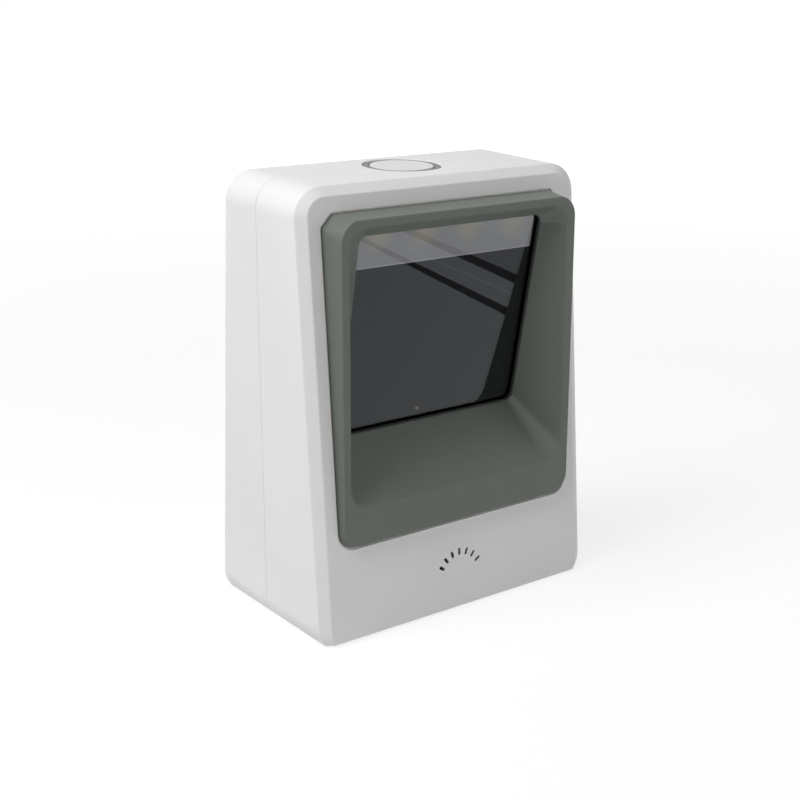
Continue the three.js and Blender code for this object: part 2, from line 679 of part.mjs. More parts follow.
const CAP_FLANGE = { radius: 12.4, low: 142.6, high: 143.6 };
const CAP_HOLLOW = { radius: 9.4, top: 147.4 };
const STEM = { radius: 2.4, low: 140 };
const CAP_EDGE = 0.4;
const RING_FLANGE = { radius: 15, thick: 1.6 };
const RING_EDGE = 0.2;
const RING_STEP = 0.6;
const RING_BOTTOM = CAP_FLANGE.high + GAP;
const FLANGE_TOP = HEIGHT - WALL - GAP;
const FLANGE_LOW = FLANGE_TOP - RING_FLANGE.thick;

const lightRing = turned([
  [RING_INNER, RING_BOTTOM], [RING_OUTER - RING_STEP, RING_BOTTOM],
  [RING_OUTER - RING_STEP, FLANGE_LOW], [RING_FLANGE.radius, FLANGE_LOW],
  [RING_FLANGE.radius, FLANGE_TOP], [RING_OUTER, FLANGE_TOP], [RING_OUTER, HEIGHT - RING_EDGE],
  [RING_OUTER - RING_EDGE, HEIGHT], [RING_INNER + RING_EDGE, HEIGHT],
  [RING_INNER, HEIGHT - RING_EDGE], [RING_INNER, RING_BOTTOM],
]);
add('light_ring', lightRing, RING_PLASTIC, buttonGroup);

const buttonCap = turned([
  [0, STEM.low], [STEM.radius, STEM.low], [STEM.radius, CAP_HOLLOW.top],
  [CAP_HOLLOW.radius, CAP_HOLLOW.top], [CAP_HOLLOW.radius, CAP_FLANGE.low],
  [CAP_FLANGE.radius, CAP_FLANGE.low], [CAP_FLANGE.radius, CAP_FLANGE.high],
  [BUTTON_RADIUS, CAP_FLANGE.high], [BUTTON_RADIUS, HEIGHT - CAP_EDGE],
  [BUTTON_RADIUS - CAP_EDGE, HEIGHT], [0, HEIGHT],
]);
add('button_cap', buttonCap, WHITE_ABS, buttonGroup);

// A cup under the ring carries the switch, its board and the ring's lights.
const CUP = { bore: 3, inner: 13.8, outer: 15.2, low: 132.2, floor: 1.4, high: FLANGE_LOW - GAP };
const cupFloor = CUP.low + CUP.floor;
const cup = turned([
  [CUP.bore, CUP.low], [CUP.outer, CUP.low], [CUP.outer, CUP.high],
  [CUP.inner, CUP.high], [CUP.inner, cupFloor], [CUP.bore, cupFloor], [CUP.bore, CUP.low],
]);
add('button_cup', cup, BLACK, buttonGroup);

const BUTTON_BOARD = { radius: 13.4, low: cupFloor + GAP, high: cupFloor + GAP + 1.2 };
const buttonBoard = barZ(BUTTON_BOARD.radius, 0, 0, BUTTON_BOARD.low, BUTTON_BOARD.high, ROUND);
add('button_board', buttonBoard, BOARD_GREEN, buttonGroup);

const SWITCH = { half: 3, floor: 0.8, bore: 1.9, plunger: 1.6 };
const switchLow = BUTTON_BOARD.high + GAP;
const switchHigh = STEM.low - GAP - BUTTON_TRAVEL - GAP;
const switchBody = cut(
  block([-SWITCH.half, -SWITCH.half, switchLow], [SWITCH.half, SWITCH.half, switchHigh]),
  barZ(SWITCH.bore, 0, 0, switchLow + SWITCH.floor, FAR),
);
add('switch_body', switchBody, CHIP, buttonGroup);
const plungerLow = switchLow + SWITCH.floor + GAP + BUTTON_TRAVEL;
add('switch_plunger', barZ(SWITCH.plunger, 0, 0, plungerLow, STEM.low - GAP), BLACK, buttonGroup);

const RING_LED = { count: 3, circle: 11.6, half: 1, tall: 0.9 };
for (let i = 0; i < RING_LED.count; i += 1) {
  const angle = (i / RING_LED.count) * Math.PI * 2 + Math.PI / 2;
  const [x, y] = [RING_LED.circle * Math.cos(angle), RING_LED.circle * Math.sin(angle)];
  const chip = block(
    [x - RING_LED.half, y - RING_LED.half, switchLow],
    [x + RING_LED.half, y + RING_LED.half, switchLow + RING_LED.tall],
  );
  add(`ring_led_${i + 1}`, chip, LED_YELLOW, buttonGroup);
}

const WIRE = 0.35;
const WIRE_SIDES = 6;
const SPRING = {
  radius: 7,
  turns: 4,
  stepsPerTurn: 12,
  low: switchLow + WIRE,
  high: CAP_HOLLOW.top - GAP - WIRE,
};

/** The return spring stands on the button board round the switch. */
class Helix extends THREE.Curve {
  getPoint(t, target = new THREE.Vector3()) {
    const angle = t * SPRING.turns * Math.PI * 2;
    const height = SPRING.low + (SPRING.high - SPRING.low) * t;
    return target.set(SPRING.radius * Math.cos(angle), SPRING.radius * Math.sin(angle), height);
  }
}

function roundSection(radius, sides) {
  const section = new THREE.Shape();
  section.absarc(0, 0, radius, 0, Math.PI * 2);
  return new THREE.Shape(section.getPoints(sides).slice(0, sides));
}

const spring = new THREE.ExtrudeGeometry(roundSection(WIRE, WIRE_SIDES), {
  extrudePath: new Helix(),
  steps: SPRING.turns * SPRING.stepsPerTurn,
  bevelEnabled: false,
});
add('return_spring', solid(spring), STEEL, buttonGroup);

// ---------------------------------------------------------------- leads inside

const LEAD_RADIUS = 0.7;
const LEAD_SIDES = 8;
const LEAD_STEPS = 20;

/** A lead of round section through a few points. */
function lead(points) {
  const path = new THREE.CatmullRomCurve3(points.map((point) => new THREE.Vector3(...point)));
  return solid(new THREE.ExtrudeGeometry(roundSection(LEAD_RADIUS, LEAD_SIDES), {
    extrudePath: path,
    steps: LEAD_STEPS,
    bevelEnabled: false,
  }));
}

add('button_lead', lead([[-6, 8, 131], [-8, 12, 126], [-20, 16, 116], [-26, 17.4, 104]]), LEAD);
add('speaker_lead', lead([[8, -22, 12], [14, -16, 12], [22, 4, 14], [26, 17.4, 26]]), LEAD);

export default scanner;
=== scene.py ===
"""Desktop presentation barcode scanner: the fine surfaces, materials, light and camera.

Shapes are worked out in millimetres in the frame's own axes (+Z up, the scanner looks along -Y)
and turned into metres when a mesh is made.
"""

import math

import bmesh
import bpy
from mathutils import Matrix, Vector


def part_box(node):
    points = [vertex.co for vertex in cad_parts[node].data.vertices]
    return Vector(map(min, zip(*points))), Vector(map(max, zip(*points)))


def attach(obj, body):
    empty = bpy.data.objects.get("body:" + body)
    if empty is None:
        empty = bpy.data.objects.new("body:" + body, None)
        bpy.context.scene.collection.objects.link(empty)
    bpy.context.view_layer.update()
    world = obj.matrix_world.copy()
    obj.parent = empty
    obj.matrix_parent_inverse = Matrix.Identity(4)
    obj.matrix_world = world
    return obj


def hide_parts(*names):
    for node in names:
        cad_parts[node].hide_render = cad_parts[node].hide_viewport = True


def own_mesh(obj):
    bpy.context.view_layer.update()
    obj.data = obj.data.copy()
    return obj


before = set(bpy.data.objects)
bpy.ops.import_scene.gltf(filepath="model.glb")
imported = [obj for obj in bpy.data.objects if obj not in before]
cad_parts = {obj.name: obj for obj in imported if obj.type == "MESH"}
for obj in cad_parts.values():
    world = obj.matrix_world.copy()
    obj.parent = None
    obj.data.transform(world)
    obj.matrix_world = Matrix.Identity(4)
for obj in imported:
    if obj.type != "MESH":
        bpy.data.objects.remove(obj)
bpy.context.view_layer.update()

MM = 0.001
HOUSING = "housing"
BUTTON = "button"


def cad_box(node):
    """The lowest and highest corners of a CAD node in millimetres."""
    return [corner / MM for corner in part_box(node)]


def boxes_of(kind):
    """The lowest corner, highest corner and middle of each of the four CAD nodes of a kind."""
    boxes = [cad_box(f"{kind}_{number}") for number in range(1, 5)]
    return [(low, high, (low + high) / 2) for low, high in boxes]


# ---------------- sizes

FRONT_LOW, FRONT_HIGH = cad_box("front_shell")
HALF_WIDTH = FRONT_HIGH.x
HEIGHT = 150.0                    # over the middle of the top
TOP_SLOPE = 0.04                  # the top rises this much per millimetre towards the rear
TOP_BAND = 30.0                   # the slope fades out over this height below the top
UNDERSIDE = FRONT_LOW.z
BASE_HALF_DEPTH = 35.2            # at desk level
LEAN = 11.3 / HEIGHT              # each face leans in by this much per millimetre of height
GAP = 0.3                         # air between pieces that meet
WALL = 2.4
FLOOR = 3.0
CORNER_RADIUS = 10.0
CORNER_SINK = 3.0                 # the lower corners' outline runs this far below desk level
LOW_SHARE = 0.45                  # how much of an inset the lower edge takes
HIGH_SHARE = 0.82                 # how much of an inset the upper edge takes
CHAMFER_ACROSS = 3.7
CHAMFER_DEEP = 2.2
REAR_FILLET = 8.0

SURROUND_FRONT = cad_box("window_surround")[0].y  # y of the surround's front rim
SURROUND = dict(half=48.3, low=33.2, high=139.7, radius=7.0)
SURROUND_FOOT = dict(half=49.0, low=32.3, high=140.7, radius=5.5, cut=4.2)
MOUTH = dict(half=45.5, low=45.5, high=137.0, radius=7.0)
APERTURE = dict(half=47.2, low=35.0, high=138.2, radius=5.0)
BEHIND = dict(half=46.6, low=36.5, high=139.0, radius=6.0)  # the surround's back edge
RECESS = 0.8                      # the surround's foot stands this deep in the housing's face
REVEAL = 0.45                     # dark gap left round the foot

PANE_CENTRE = Vector((0, -22.5, 99.05))
PANE_TILT = math.radians(10.9)    # top edge forward
PANE_HALF = 37.7
PANE_RISE = 35.0
PANE_RADIUS = 3.0
POCKET_MARGIN = 2.4               # the pocket for gasket and pane is this much larger all round
POCKET_DEEP = 4.6
FRAME_MARGIN = 4.8                # outside of the surround's frame round the pocket
LEDGE = 0.7
GASKET_OUT = -LEDGE - GAP         # outs are measured from the funnel's inner end
GASKET_BACK = GASKET_OUT - 0.6
GASKET_LIP = 0.15                 # how far the gasket shows inside the funnel's inner end
PANE_OUT = GASKET_BACK - GAP
PANE_BACK = PANE_OUT - 1.8

DIFFUSER_LOW = 22.4               # the milky plate's lower edge, up the pane from its middle, where its painted highlight runs

SLOT_COUNT = 7
SLOT_STEP = math.radians(19.5)
SLOT_INNER, SLOT_OUTER = 7.8, 10.4
SLOT_WIDTH = 1.0
SLOT_CENTRE_Z = 11.5
SLOT_PROFILE = (                  # (depth in from the front face, widening on each side)
    (-2.0, 0.3), (0.0, 0.08), (0.2, 0.0), (0.45, 0.0), (1.1, 0.6), (4.0, 0.6),
)

BUTTON_HOLE = 13.45               # radius
CORNER_STEPS = 14
SMALLEST_RADIUS = 0.4


def half_depth(z):
    """Distance from the middle plane to the leaning front or rear face at a height."""
    return BASE_HALF_DEPTH - LEAN * z


# ---------------- mesh tools


def arc(centre, radius, start, end, steps):
    """Points on an arc between two angles in degrees."""
    points = []
    for step in range(steps + 1):
        angle = math.radians(start + (end - start) * step / steps)
        points.append((centre[0] + radius * math.cos(angle), centre[1] + radius * math.sin(angle)))
    return points


def outline(half, low, high, radius, cut=0.0, floor=None):
    """An upright rectangle with round corners; its top corners may be cut straight.

    A floor trims the lower corners' arcs level, so that the outline stands flat on it.
    """
    start = -90.0
    if floor is not None and low < floor:
        start = -math.degrees(math.asin(min(1.0, (low + radius - floor) / radius)))
    right, left = half - radius, radius - half
    bottom = low + radius
    points = arc((right, bottom), radius, start, 0, CORNER_STEPS)
    if cut:
        soft = 1.2                # the cut's own two corners are eased
        cut_line = rounded([
            (half, high - cut - soft), (half, high - cut), (half - cut, high),
            (half - cut - soft, high),
        ], soft, CORNER_STEPS // 2 - 1)[1:-1]
        cut_line.insert(CORNER_STEPS // 2, (half - cut / 2, high - cut / 2))
        points += cut_line
        points += [(-x, z) for x, z in reversed(cut_line)]
    else:
        points += arc((right, high - radius), radius, 0, 90, CORNER_STEPS)
        points += arc((left, high - radius), radius, 90, 180, CORNER_STEPS)
    points += arc((left, bottom), radius, 180, 180 - start, CORNER_STEPS)
    return points


def grown(shape, margin):
    """The same rectangle, larger all round by a margin."""
    larger = dict(shape)
    larger["half"] += margin
    larger["low"] -= margin
    larger["high"] += margin
    larger["radius"] = max(larger["radius"] + margin, SMALLEST_RADIUS)
    return larger


def upright_ring(shape, depth):
    """A ring of points at one y, or on a surface whose y is depth(z)."""
    at = depth if callable(depth) else lambda z: depth
    return [Vector((x, at(z), z)) for x, z in outline(**shape)]


def rounded(points, radius, steps=4):
    """A flat polyline with each inner corner turned into a curve of about that radius."""
    result = [points[0]]
    for before, corner, after in zip(points, points[1:], points[2:]):
        a, b, c = Vector(before), Vector(corner), Vector(after)
        reach = min(radius, (a - b).length / 2, (c - b).length / 2)
        start = b + (a - b).normalized() * reach
        end = b + (c - b).normalized() * reach
        for step in range(steps + 1):
            t = step / steps
            result.append(tuple((1 - t) ** 2 * start + 2 * t * (1 - t) * b + t * t * end))
    result.append(points[-1])
    return result


def shade(piece, degrees):
    """Smooth shading that stays sharp at true edges, with flat faces kept flat."""
    mesh = piece.data
    mesh.shade_smooth()
    mesh.set_sharp_from_angle(angle=math.radians(degrees))
    weighted = piece.modifiers.new("weighted_normals", "WEIGHTED_NORMAL")
    weighted.keep_sharp = True
    weighted.weight = 90


def in_scene(name, data):
    thing = bpy.data.objects.new(name, data)
    bpy.context.scene.collection.objects.link(thing)
    return thing


def new_piece(name, bm):
    """A piece in metres from a bmesh in millimetres."""
    bmesh.ops.recalc_face_normals(bm, faces=bm.faces)
    bmesh.ops.scale(bm, vec=(MM, MM, MM), verts=bm.verts)
    mesh = bpy.data.meshes.new(name)
    bm.to_mesh(mesh)
    bm.free()
    return in_scene(name, mesh)


def loft(name, rings, closed=False):
    """A skin over rings with equal numbers of points, capped at both ends or joined into a loop."""
    bm = bmesh.new()
    rows = [[bm.verts.new(point) for point in ring] for ring in rings]
    pairs = list(zip(rows, rows[1:]))
    if closed:
        pairs.append((rows[-1], rows[0]))
    else:
        bm.faces.new(rows[0])
        bm.faces.new(reversed(rows[-1]))
    for near, far in pairs:
        for i in range(len(near)):
            j = (i + 1) % len(near)
            bm.faces.new((near[i], far[i], far[j], near[j]))
    return new_piece(name, bm)


def turned(name, profile, centre=(0, 0, 0), axis="Z", sides=64):
    """A round piece from a profile of (radius, height) points that starts and ends on the axis
    or closes on itself. Heights run along the axis from the centre."""
    bm = bmesh.new()
    on_axis = profile[0][0] == 0
    rows = []
    for radius, height in profile if on_axis else profile[:-1]:
        if radius == 0:
            rows.append([bm.verts.new((0, 0, height))])
            continue
        rows.append([
            bm.verts.new((radius * math.cos(a), radius * math.sin(a), height))
            for a in (math.tau * i / sides for i in range(sides))
        ])
    pairs = list(zip(rows, rows[1:]))
    if not on_axis:
        pairs.append((rows[-1], rows[0]))
    for near, far in pairs:
        for i in range(sides):
            j = (i + 1) % sides
            corners = [
                near[i % len(near)], near[j % len(near)], far[j % len(far)], far[i % len(far)],
            ]
            bm.faces.new(list(dict.fromkeys(corners)))
    turn = Matrix.Rotation(math.radians(-90 if axis == "Y" else 0), 3, "X")
    for vert in bm.verts:
        vert.co = turn @ vert.co + Vector(centre)
    return new_piece(name, bm)


BAR_SIDES = 40


def bar(radius, start, end):
    """A round bar between two points on one line along Y or Z, for adding or cutting."""
    start, end = Vector(start), Vector(end)
    axis = "Y" if abs(end.y - start.y) > abs(end.z - start.z) else "Z"
    length = (end - start).length
    profile = [(0, 0), (radius, 0), (radius, length), (0, length)]
    return turned("bar", profile, start, axis, BAR_SIDES)


def block(low, high):
    """A block between two corners, for adding or cutting."""
    bm = bmesh.new()
    bmesh.ops.create_cube(bm, size=1)
    low, high = Vector(low), Vector(high)
    for vert in bm.verts:
        vert.co = Vector((low[i] + (vert.co[i] + 0.5) * (high[i] - low[i]) for i in range(3)))
    return new_piece("block", bm)


def lean(piece):
    """Tilts an upright piece with the sloping top, about the middle of the top."""
    middle = Matrix.Translation((0, 0, HEIGHT * MM))
    turn = Matrix.Rotation(math.atan(TOP_SLOPE), 4, "X")
    piece.data.transform(middle @ turn @ middle.inverted())
    return piece


def combine(piece, tools, operation="DIFFERENCE"):
    """Joins to or cuts from a piece with other solids, which are used up."""
    for tool in tools:
        modifier = piece.modifiers.new("combine", "BOOLEAN")
        modifier.operation = operation
        modifier.solver = "MANIFOLD"
        modifier.object = tool
    bpy.context.view_layer.update()
    evaluated = piece.evaluated_get(bpy.context.evaluated_depsgraph_get())
    mesh = bpy.data.meshes.new_from_object(evaluated)
    piece.modifiers.clear()
    piece.data = mesh
    for tool in tools:
        bpy.data.objects.remove(tool)
    return piece


DOUBLED, DEGENERATE = 2e-6, 1e-6  # metres


def tidy(piece):
    """Merges doubled points and dissolves the edges of no length that a cut left."""
    bm = bmesh.new()
    bm.from_mesh(piece.data)
    bmesh.ops.remove_doubles(bm, verts=bm.verts, dist=DOUBLED)
    bmesh.ops.dissolve_degenerate(bm, edges=bm.edges, dist=DEGENERATE)
    bm.to_mesh(piece.data)
    bm.free()
    return piece


def finish_piece(piece, body, material, slot, *nodes):
    """Gives a new piece its material and body, and lets it stand for CAD nodes; the slot is not
    used.
    """
    piece.data.materials.clear()
    piece.data.materials.append(material)
    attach(piece, body)
    if nodes:
        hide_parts(*nodes)


# ---------------- materials


class Look:
    """A principled material with the few node helpers that the finishes share."""

    def __init__(self, name, colour, roughness, metallic=0.0):
        self.material = bpy.data.materials.new(name)
        self.material.use_nodes = True
        self.nodes = self.material.node_tree.nodes
        self.links = self.material.node_tree.links
        self.shader = self.nodes["Principled BSDF"]
        self.colour = colour
        self.roughness = roughness
        self.set("Base Color", (*colour, 1))
        self.set("Roughness", roughness)
        self.set("Metallic", metallic)
        self.place = self.nodes.new("ShaderNodeTexCoord").outputs["Object"]
        self.height = None

    def set(self, socket, value):
        self.shader.inputs[socket].default_value = value

    def noise(self, size, detail=2.0, stretch=None):
        """Noise whose features are about size millimetres across."""
        texture = self.nodes.new("ShaderNodeTexNoise")
        texture.inputs["Scale"].default_value = 1 / (size * MM)
        texture.inputs["Detail"].default_value = detail
        source = self.place
        if stretch:
            mapping = self.nodes.new("ShaderNodeMapping")
            mapping.inputs["Scale"].default_value = stretch
            self.links.new(source, mapping.inputs["Vector"])
            source = mapping.outputs["Vector"]
        self.links.new(source, texture.inputs["Vector"])
        return texture.outputs["Fac"]

    def cells(self, size):
        """Distance from the middles of cells about size millimetres across."""
        texture = self.nodes.new("ShaderNodeTexVoronoi")
        texture.inputs["Scale"].default_value = 1 / (size * MM)
        self.links.new(self.place, texture.inputs["Vector"])
        return texture.outputs["Distance"]

    def ranged(self, value, low, high, start=0.3, end=0.7):
        """A value spread over a range."""
        node = self.nodes.new("ShaderNodeMapRange")
        ends = {"From Min": start, "From Max": end, "To Min": low, "To Max": high}
        for socket, number in ends.items():
            node.inputs[socket].default_value = number
        self.links.new(value, node.inputs["Value"])
        return node.outputs["Result"]

    def tint(self, value, amount):
        """Colour that drifts by a share of itself as a value goes from 0 to 1."""
        ramp = self.nodes.new("ShaderNodeValToRGB")
        for element, position, tone in zip(
            ramp.color_ramp.elements, (0.3, 0.7), (1 - amount, 1 + amount),
        ):
            element.position = position
            element.color = (*(min(1.0, c * tone) for c in self.colour), 1)
        self.links.new(value, ramp.inputs["Fac"])
        self.links.new(ramp.outputs["Color"], self.shader.inputs["Base Color"])

    def vary_roughness(self, value, amount):
        """Roughness that goes an amount either side of its middle."""
        out = self.ranged(value, self.roughness - amount, self.roughness + amount)
        self.links.new(out, self.shader.inputs["Roughness"])

    def bump(self, value, depth, strength=1.0):
        """Relief of a depth in millimetres, added to any relief already there."""
        node = self.nodes.new("ShaderNodeBump")
        node.inputs["Distance"].default_value = depth * MM
        node.inputs["Strength"].default_value = strength
        self.links.new(value, node.inputs["Height"])
        if self.height:
            self.links.new(self.height, node.inputs["Normal"])
        self.height = node.outputs["Normal"]
        self.links.new(self.height, self.shader.inputs["Normal"])


def moulded(name, colour, roughness, grain=0.35, depth=0.012, drift=0.02, sheen=0.0):
    """Moulded plastic with a fine eroded grain and slow drift in colour and gloss."""
    look = Look(name, colour, roughness)
    if sheen:
        look.set("Sheen Weight", sheen)
        look.set("Sheen Roughness", 0.3)
    look.tint(look.noise(45, 1), drift)
    look.vary_roughness(look.noise(9, 3), 0.05)
    look.bump(look.cells(grain), depth, 0.5)
    look.bump(look.noise(grain * 0.6, 4), depth * 0.6, 0.5)
    return look.material


def brushed(name, colour, roughness, stretch):
    """Metal with fine drawn lines."""
    look = Look(name, colour, roughness, 1.0)
    lines = look.noise(0.25, 4, stretch)
    look.tint(lines, 0.08)
    look.vary_roughness(lines, 0.08)
    look.bump(lines, 0.004, 0.4)
    return look.material


def circuit_board(name, colour):
    """Solder mask with faint tracks under it."""
    look = Look(name, colour, 0.35)
    tracks = look.nodes.new("ShaderNodeTexBrick")
    for socket, value in {
        "Scale": 1 / (2.4 * MM), "Mortar Size": 0.08, "Mortar": (1, 1, 1, 1),
        "Color1": (0, 0, 0, 1), "Color2": (0.2, 0.2, 0.2, 1),
    }.items():
        tracks.inputs[socket].default_value = value
    turn = look.nodes.new("ShaderNodeMapping")
    turn.inputs["Rotation"].default_value = (math.radians(90), 0, 0)
    look.links.new(look.place, turn.inputs["Vector"])
    look.links.new(turn.outputs["Vector"], tracks.inputs["Vector"])
    look.tint(tracks.outputs["Color"], 0.35)
    look.bump(tracks.outputs["Color"], 0.02, 0.5)
    look.vary_roughness(look.noise(6, 2), 0.04)
    return look.material


def milky_plate_painted_glow():
    """Milky acrylic with painted light, though the plate is no lamp: an even painted glow, stronger
    and yellower in front of each lamp behind it, and a painted highlight along its lower edge."""
    look = Look("milky_plate_painted_glow", (0.45, 0.45, 0.46), 0.5)
    # painted glow: the plate's emission stands in for the light of the lamps behind it
    look.set("Emission Strength", 1.0)
    nearest = None
    for low, high, middle in boxes_of("scan_led"):
        distance = look.nodes.new("ShaderNodeVectorMath")
        distance.operation = "DISTANCE"
        distance.inputs[1].default_value = middle * MM
        look.links.new(look.place, distance.inputs[0])
        if nearest is None:
            nearest = distance.outputs["Value"]
            continue
        least = look.nodes.new("ShaderNodeMath")
        least.operation = "MINIMUM"
        look.links.new(nearest, least.inputs[0])
        look.links.new(distance.outputs["Value"], least.inputs[1])
        nearest = least.outputs["Value"]
    # painted glow, warmer and brighter near each lamp
    glow = look.nodes.new("ShaderNodeValToRGB")
    glow.color_ramp.interpolation = "EASE"
    glow.color_ramp.elements[0].color = (1.72, 1.60, 1.24, 1)
    glow.color_ramp.elements[1].color = (1.34, 1.33, 1.31, 1)
    look.links.new(look.ranged(nearest, 0, 1, 3 * MM, 8 * MM), glow.inputs["Fac"])
    # painted highlight: brighter emission in a thin band along the plate's lower edge
    up = Vector((0, -math.sin(PANE_TILT), math.cos(PANE_TILT)))
    height = look.nodes.new("ShaderNodeVectorMath")
    height.operation = "DOT_PRODUCT"
    height.inputs[1].default_value = up
    look.links.new(look.place, height.inputs[0])
    low_edge = (PANE_CENTRE.dot(up) + DIFFUSER_LOW) * MM
    lit_up_to, fades_at = low_edge + 0.15 * MM, low_edge + 0.55 * MM
    edge = look.ranged(height.outputs["Value"], 1, 0, lit_up_to, fades_at)
    painted_glow_and_highlight = look.nodes.new("ShaderNodeMix")
    painted_glow_and_highlight.data_type = "RGBA"
    painted_glow_and_highlight.inputs["B"].default_value = (2.1, 2.08, 2.0, 1)
    look.links.new(edge, painted_glow_and_highlight.inputs["Factor"])
    look.links.new(glow.outputs["Color"], painted_glow_and_highlight.inputs["A"])
    look.links.new(painted_glow_and_highlight.outputs["Result"], look.shader.inputs["Emission Color"])
    look.tint(look.noise(5, 2), 0.02)
    look.bump(look.noise(0.5, 2), 0.004, 0.3)
    return look.material


def finish(name, colour, roughness, tint=None, gloss=None, relief=None, metallic=0.0, **more):
    """A finish with noise in its colour, gloss and relief. Each is given as the noise's own
    values, then the amounts; more holds other sockets, with _ for a space in their names."""
    look = Look(name, colour, roughness, metallic)
    for socket, value in more.items():
        look.set(socket.replace("_", " "), value)
    if tint:
        look.tint(look.noise(*tint[0]), tint[1])
    if gloss:
        look.vary_roughness(look.noise(*gloss[0]), gloss[1])
    if relief:
        look.bump(look.noise(*relief[0]), *relief[1:])
    return look.material


def black_rubber(name, colour=(0.012, 0.012, 0.0125), roughness=0.75):
    """Matt rubber with blotches and a pitted skin."""
    return finish(
        name, colour, roughness, ((2.5, 4), 0.25), ((1.5, 3), 0.08), ((0.4, 4), 0.03, 0.6))


WHITE = moulded("white_abs", (0.80, 0.785, 0.788), 0.48)
CAP_WHITE = moulded("cap_white", (0.72, 0.71, 0.712), 0.42, grain=0.25, depth=0.008)
GREY = moulded(
    "grey_green_abs", (0.112, 0.129, 0.109), 0.46, grain=0.3, depth=0.014, drift=0.03, sheen=0.12)
BLACK = moulded("black_abs", (0.010, 0.010, 0.011), 0.6, grain=0.4)
SOCKET_BLACK = moulded("socket_black", (0.013, 0.013, 0.014), 0.45, grain=0.3, depth=0.008)
PANE = finish(
    "smoked_acrylic", (0.10, 0.102, 0.108), 0.012,
    ((30, 1), 0.02), ((14, 3), 0.008), ((60, 1), 0.01, 0.3),
    IOR=1.49, Transmission_Weight=1.0, Specular_Tint=(0.86, 0.94, 1.0, 1))
# painted glow and painted edge highlight on the plate behind the pane
MILKY_PAINTED_GLOW = milky_plate_painted_glow()
SEAL = black_rubber("window_seal", (0.006, 0.006, 0.006), 0.8)
FOOT_RUBBER = black_rubber("foot_rubber")
LEAD = black_rubber("lead_jacket", (0.016, 0.016, 0.018), 0.55)
DIFFUSER = finish(
    "ring_diffuser", (0.15, 0.15, 0.146), 0.4, ((3, 2), 0.06), None, ((0.3, 3), 0.006, 0.4),
    Specular_IOR_Level=0.25)
BOARD = circuit_board("solder_mask", (0.015, 0.075, 0.030))
BLACK_BOARD = circuit_board("black_solder_mask", (0.010, 0.011, 0.011))
CHIP = moulded("chip_resin", (0.012, 0.012, 0.013), 0.5, grain=0.15, depth=0.006)
STEEL = brushed("zinc_steel", (0.50, 0.50, 0.51), 0.35, (1, 1, 12))
TIN = brushed("tinned_can", (0.60, 0.60, 0.61), 0.28, (14, 1, 1))
GOLD = brushed("gold_contacts", (0.75, 0.52, 0.20), 0.25, (1, 10, 1))
LENS = finish(
    "coated_lens", (0.02, 0.025, 0.05), 0.02, None, ((2, 2), 0.01),
    Coat_Weight=0.6, Coat_Tint=(0.6, 0.7, 1.0, 1))
LAMP = finish(
    "lamp_phosphor", (0.8, 0.58, 0.2), 0.4, ((0.5, 3), 0.1), None, ((0.2, 3), 0.01, 0.4),
    Emission_Color=(1.0, 0.78, 0.42, 1), Emission_Strength=0.8)
PAPER = finish(
    "speaker_paper", (0.03, 0.028, 0.025), 0.85,
    ((0.6, 4, (1, 1, 4)), 0.3), None, ((0.3, 4), 0.04, 0.7))
LABEL = finish(
    "label_film", (0.55, 0.555, 0.56), 0.35,
    None, ((1.5, 2, (1, 12, 1)), 0.06), ((0.8, 2), 0.006, 0.3), metallic=0.4)

# ---------------- housing halves


def housing_ring(inset, depth, lift=0.0):
    """The housing's outline drawn in by an inset, under its sloping top."""
    shape = dict(
        half=HALF_WIDTH - inset,
        low=inset * LOW_SHARE - CORNER_SINK,
        high=HEIGHT - inset * HIGH_SHARE,
        radius=max(CORNER_RADIUS - inset, 1.0),
        floor=UNDERSIDE + lift,
    )
    ring = upright_ring(shape, depth)
    for point in ring:
        point.z += TOP_SLOPE * point.y * max(0.0, 1 - (HEIGHT - point.z) / TOP_BAND)
    return ring


SEAM_HALF = 0.06                  # half the hairline gap between the halves
SEAM_EDGE = 0.16                  # rounding where the halves meet
UNDER_EDGE = 0.6                  # rounding round the underside
CHAMFER_EDGE = 0.4                # rounding of the front chamfer's two edges
FRONT_CAP = 9.0                   # the front face's last ring is this far in
SKIN_BACK = 6.0                   # the front half's outline is straight from here to the seam
FILLET_STEPS, INNER_FILLET_STEPS = 14, 6


def under_lift(depth):
    """How far the underside's rounded edge has risen at a depth in from a face."""
    if depth >= UNDER_EDGE:
        return 0.0
    return UNDER_EDGE - math.sqrt(UNDER_EDGE ** 2 - (UNDER_EDGE - depth) ** 2)


def seam_rings(side):
    """Rings that round the edge at the seam; side is -1 for the front half, 1 for the rear."""
    rings = []
    for turn in (0, 30, 60, 90):
        inset = SEAM_EDGE * (1 - math.cos(math.radians(turn)))
        back = SEAM_EDGE * (1 - math.sin(math.radians(turn)))
        rings.append(housing_ring(inset, side * (SEAM_HALF + back)))
    return rings


def front_skin():
    """The front half's outside: face, chamfer, side and seam edge."""
    profile = rounded([
        (FRONT_CAP, 0.0), (CHAMFER_ACROSS, 0.0), (0.0, CHAMFER_DEEP), (0.0, SKIN_BACK),
    ], CHAMFER_EDGE, 5)
    rings = []
    for inset, depth in profile:
        rings.append(housing_ring(inset, lambda z, d=depth: d - half_depth(z), under_lift(depth)))
    return loft("front_housing", rings + seam_rings(-1))


def rear_skin():
    """The rear half's outside: seam edge, side and the large fillet round the rear face."""
    rings = seam_rings(1)[::-1]
    for step in range(FILLET_STEPS + 1):
        angle = math.radians(90 * step / FILLET_STEPS)
        inset = REAR_FILLET * (1 - math.cos(angle))
        back = REAR_FILLET * (1 - math.sin(angle))
        rings.append(housing_ring(inset, lambda z, b=back: half_depth(z) - b, under_lift(back)))
    return loft("rear_housing", rings)


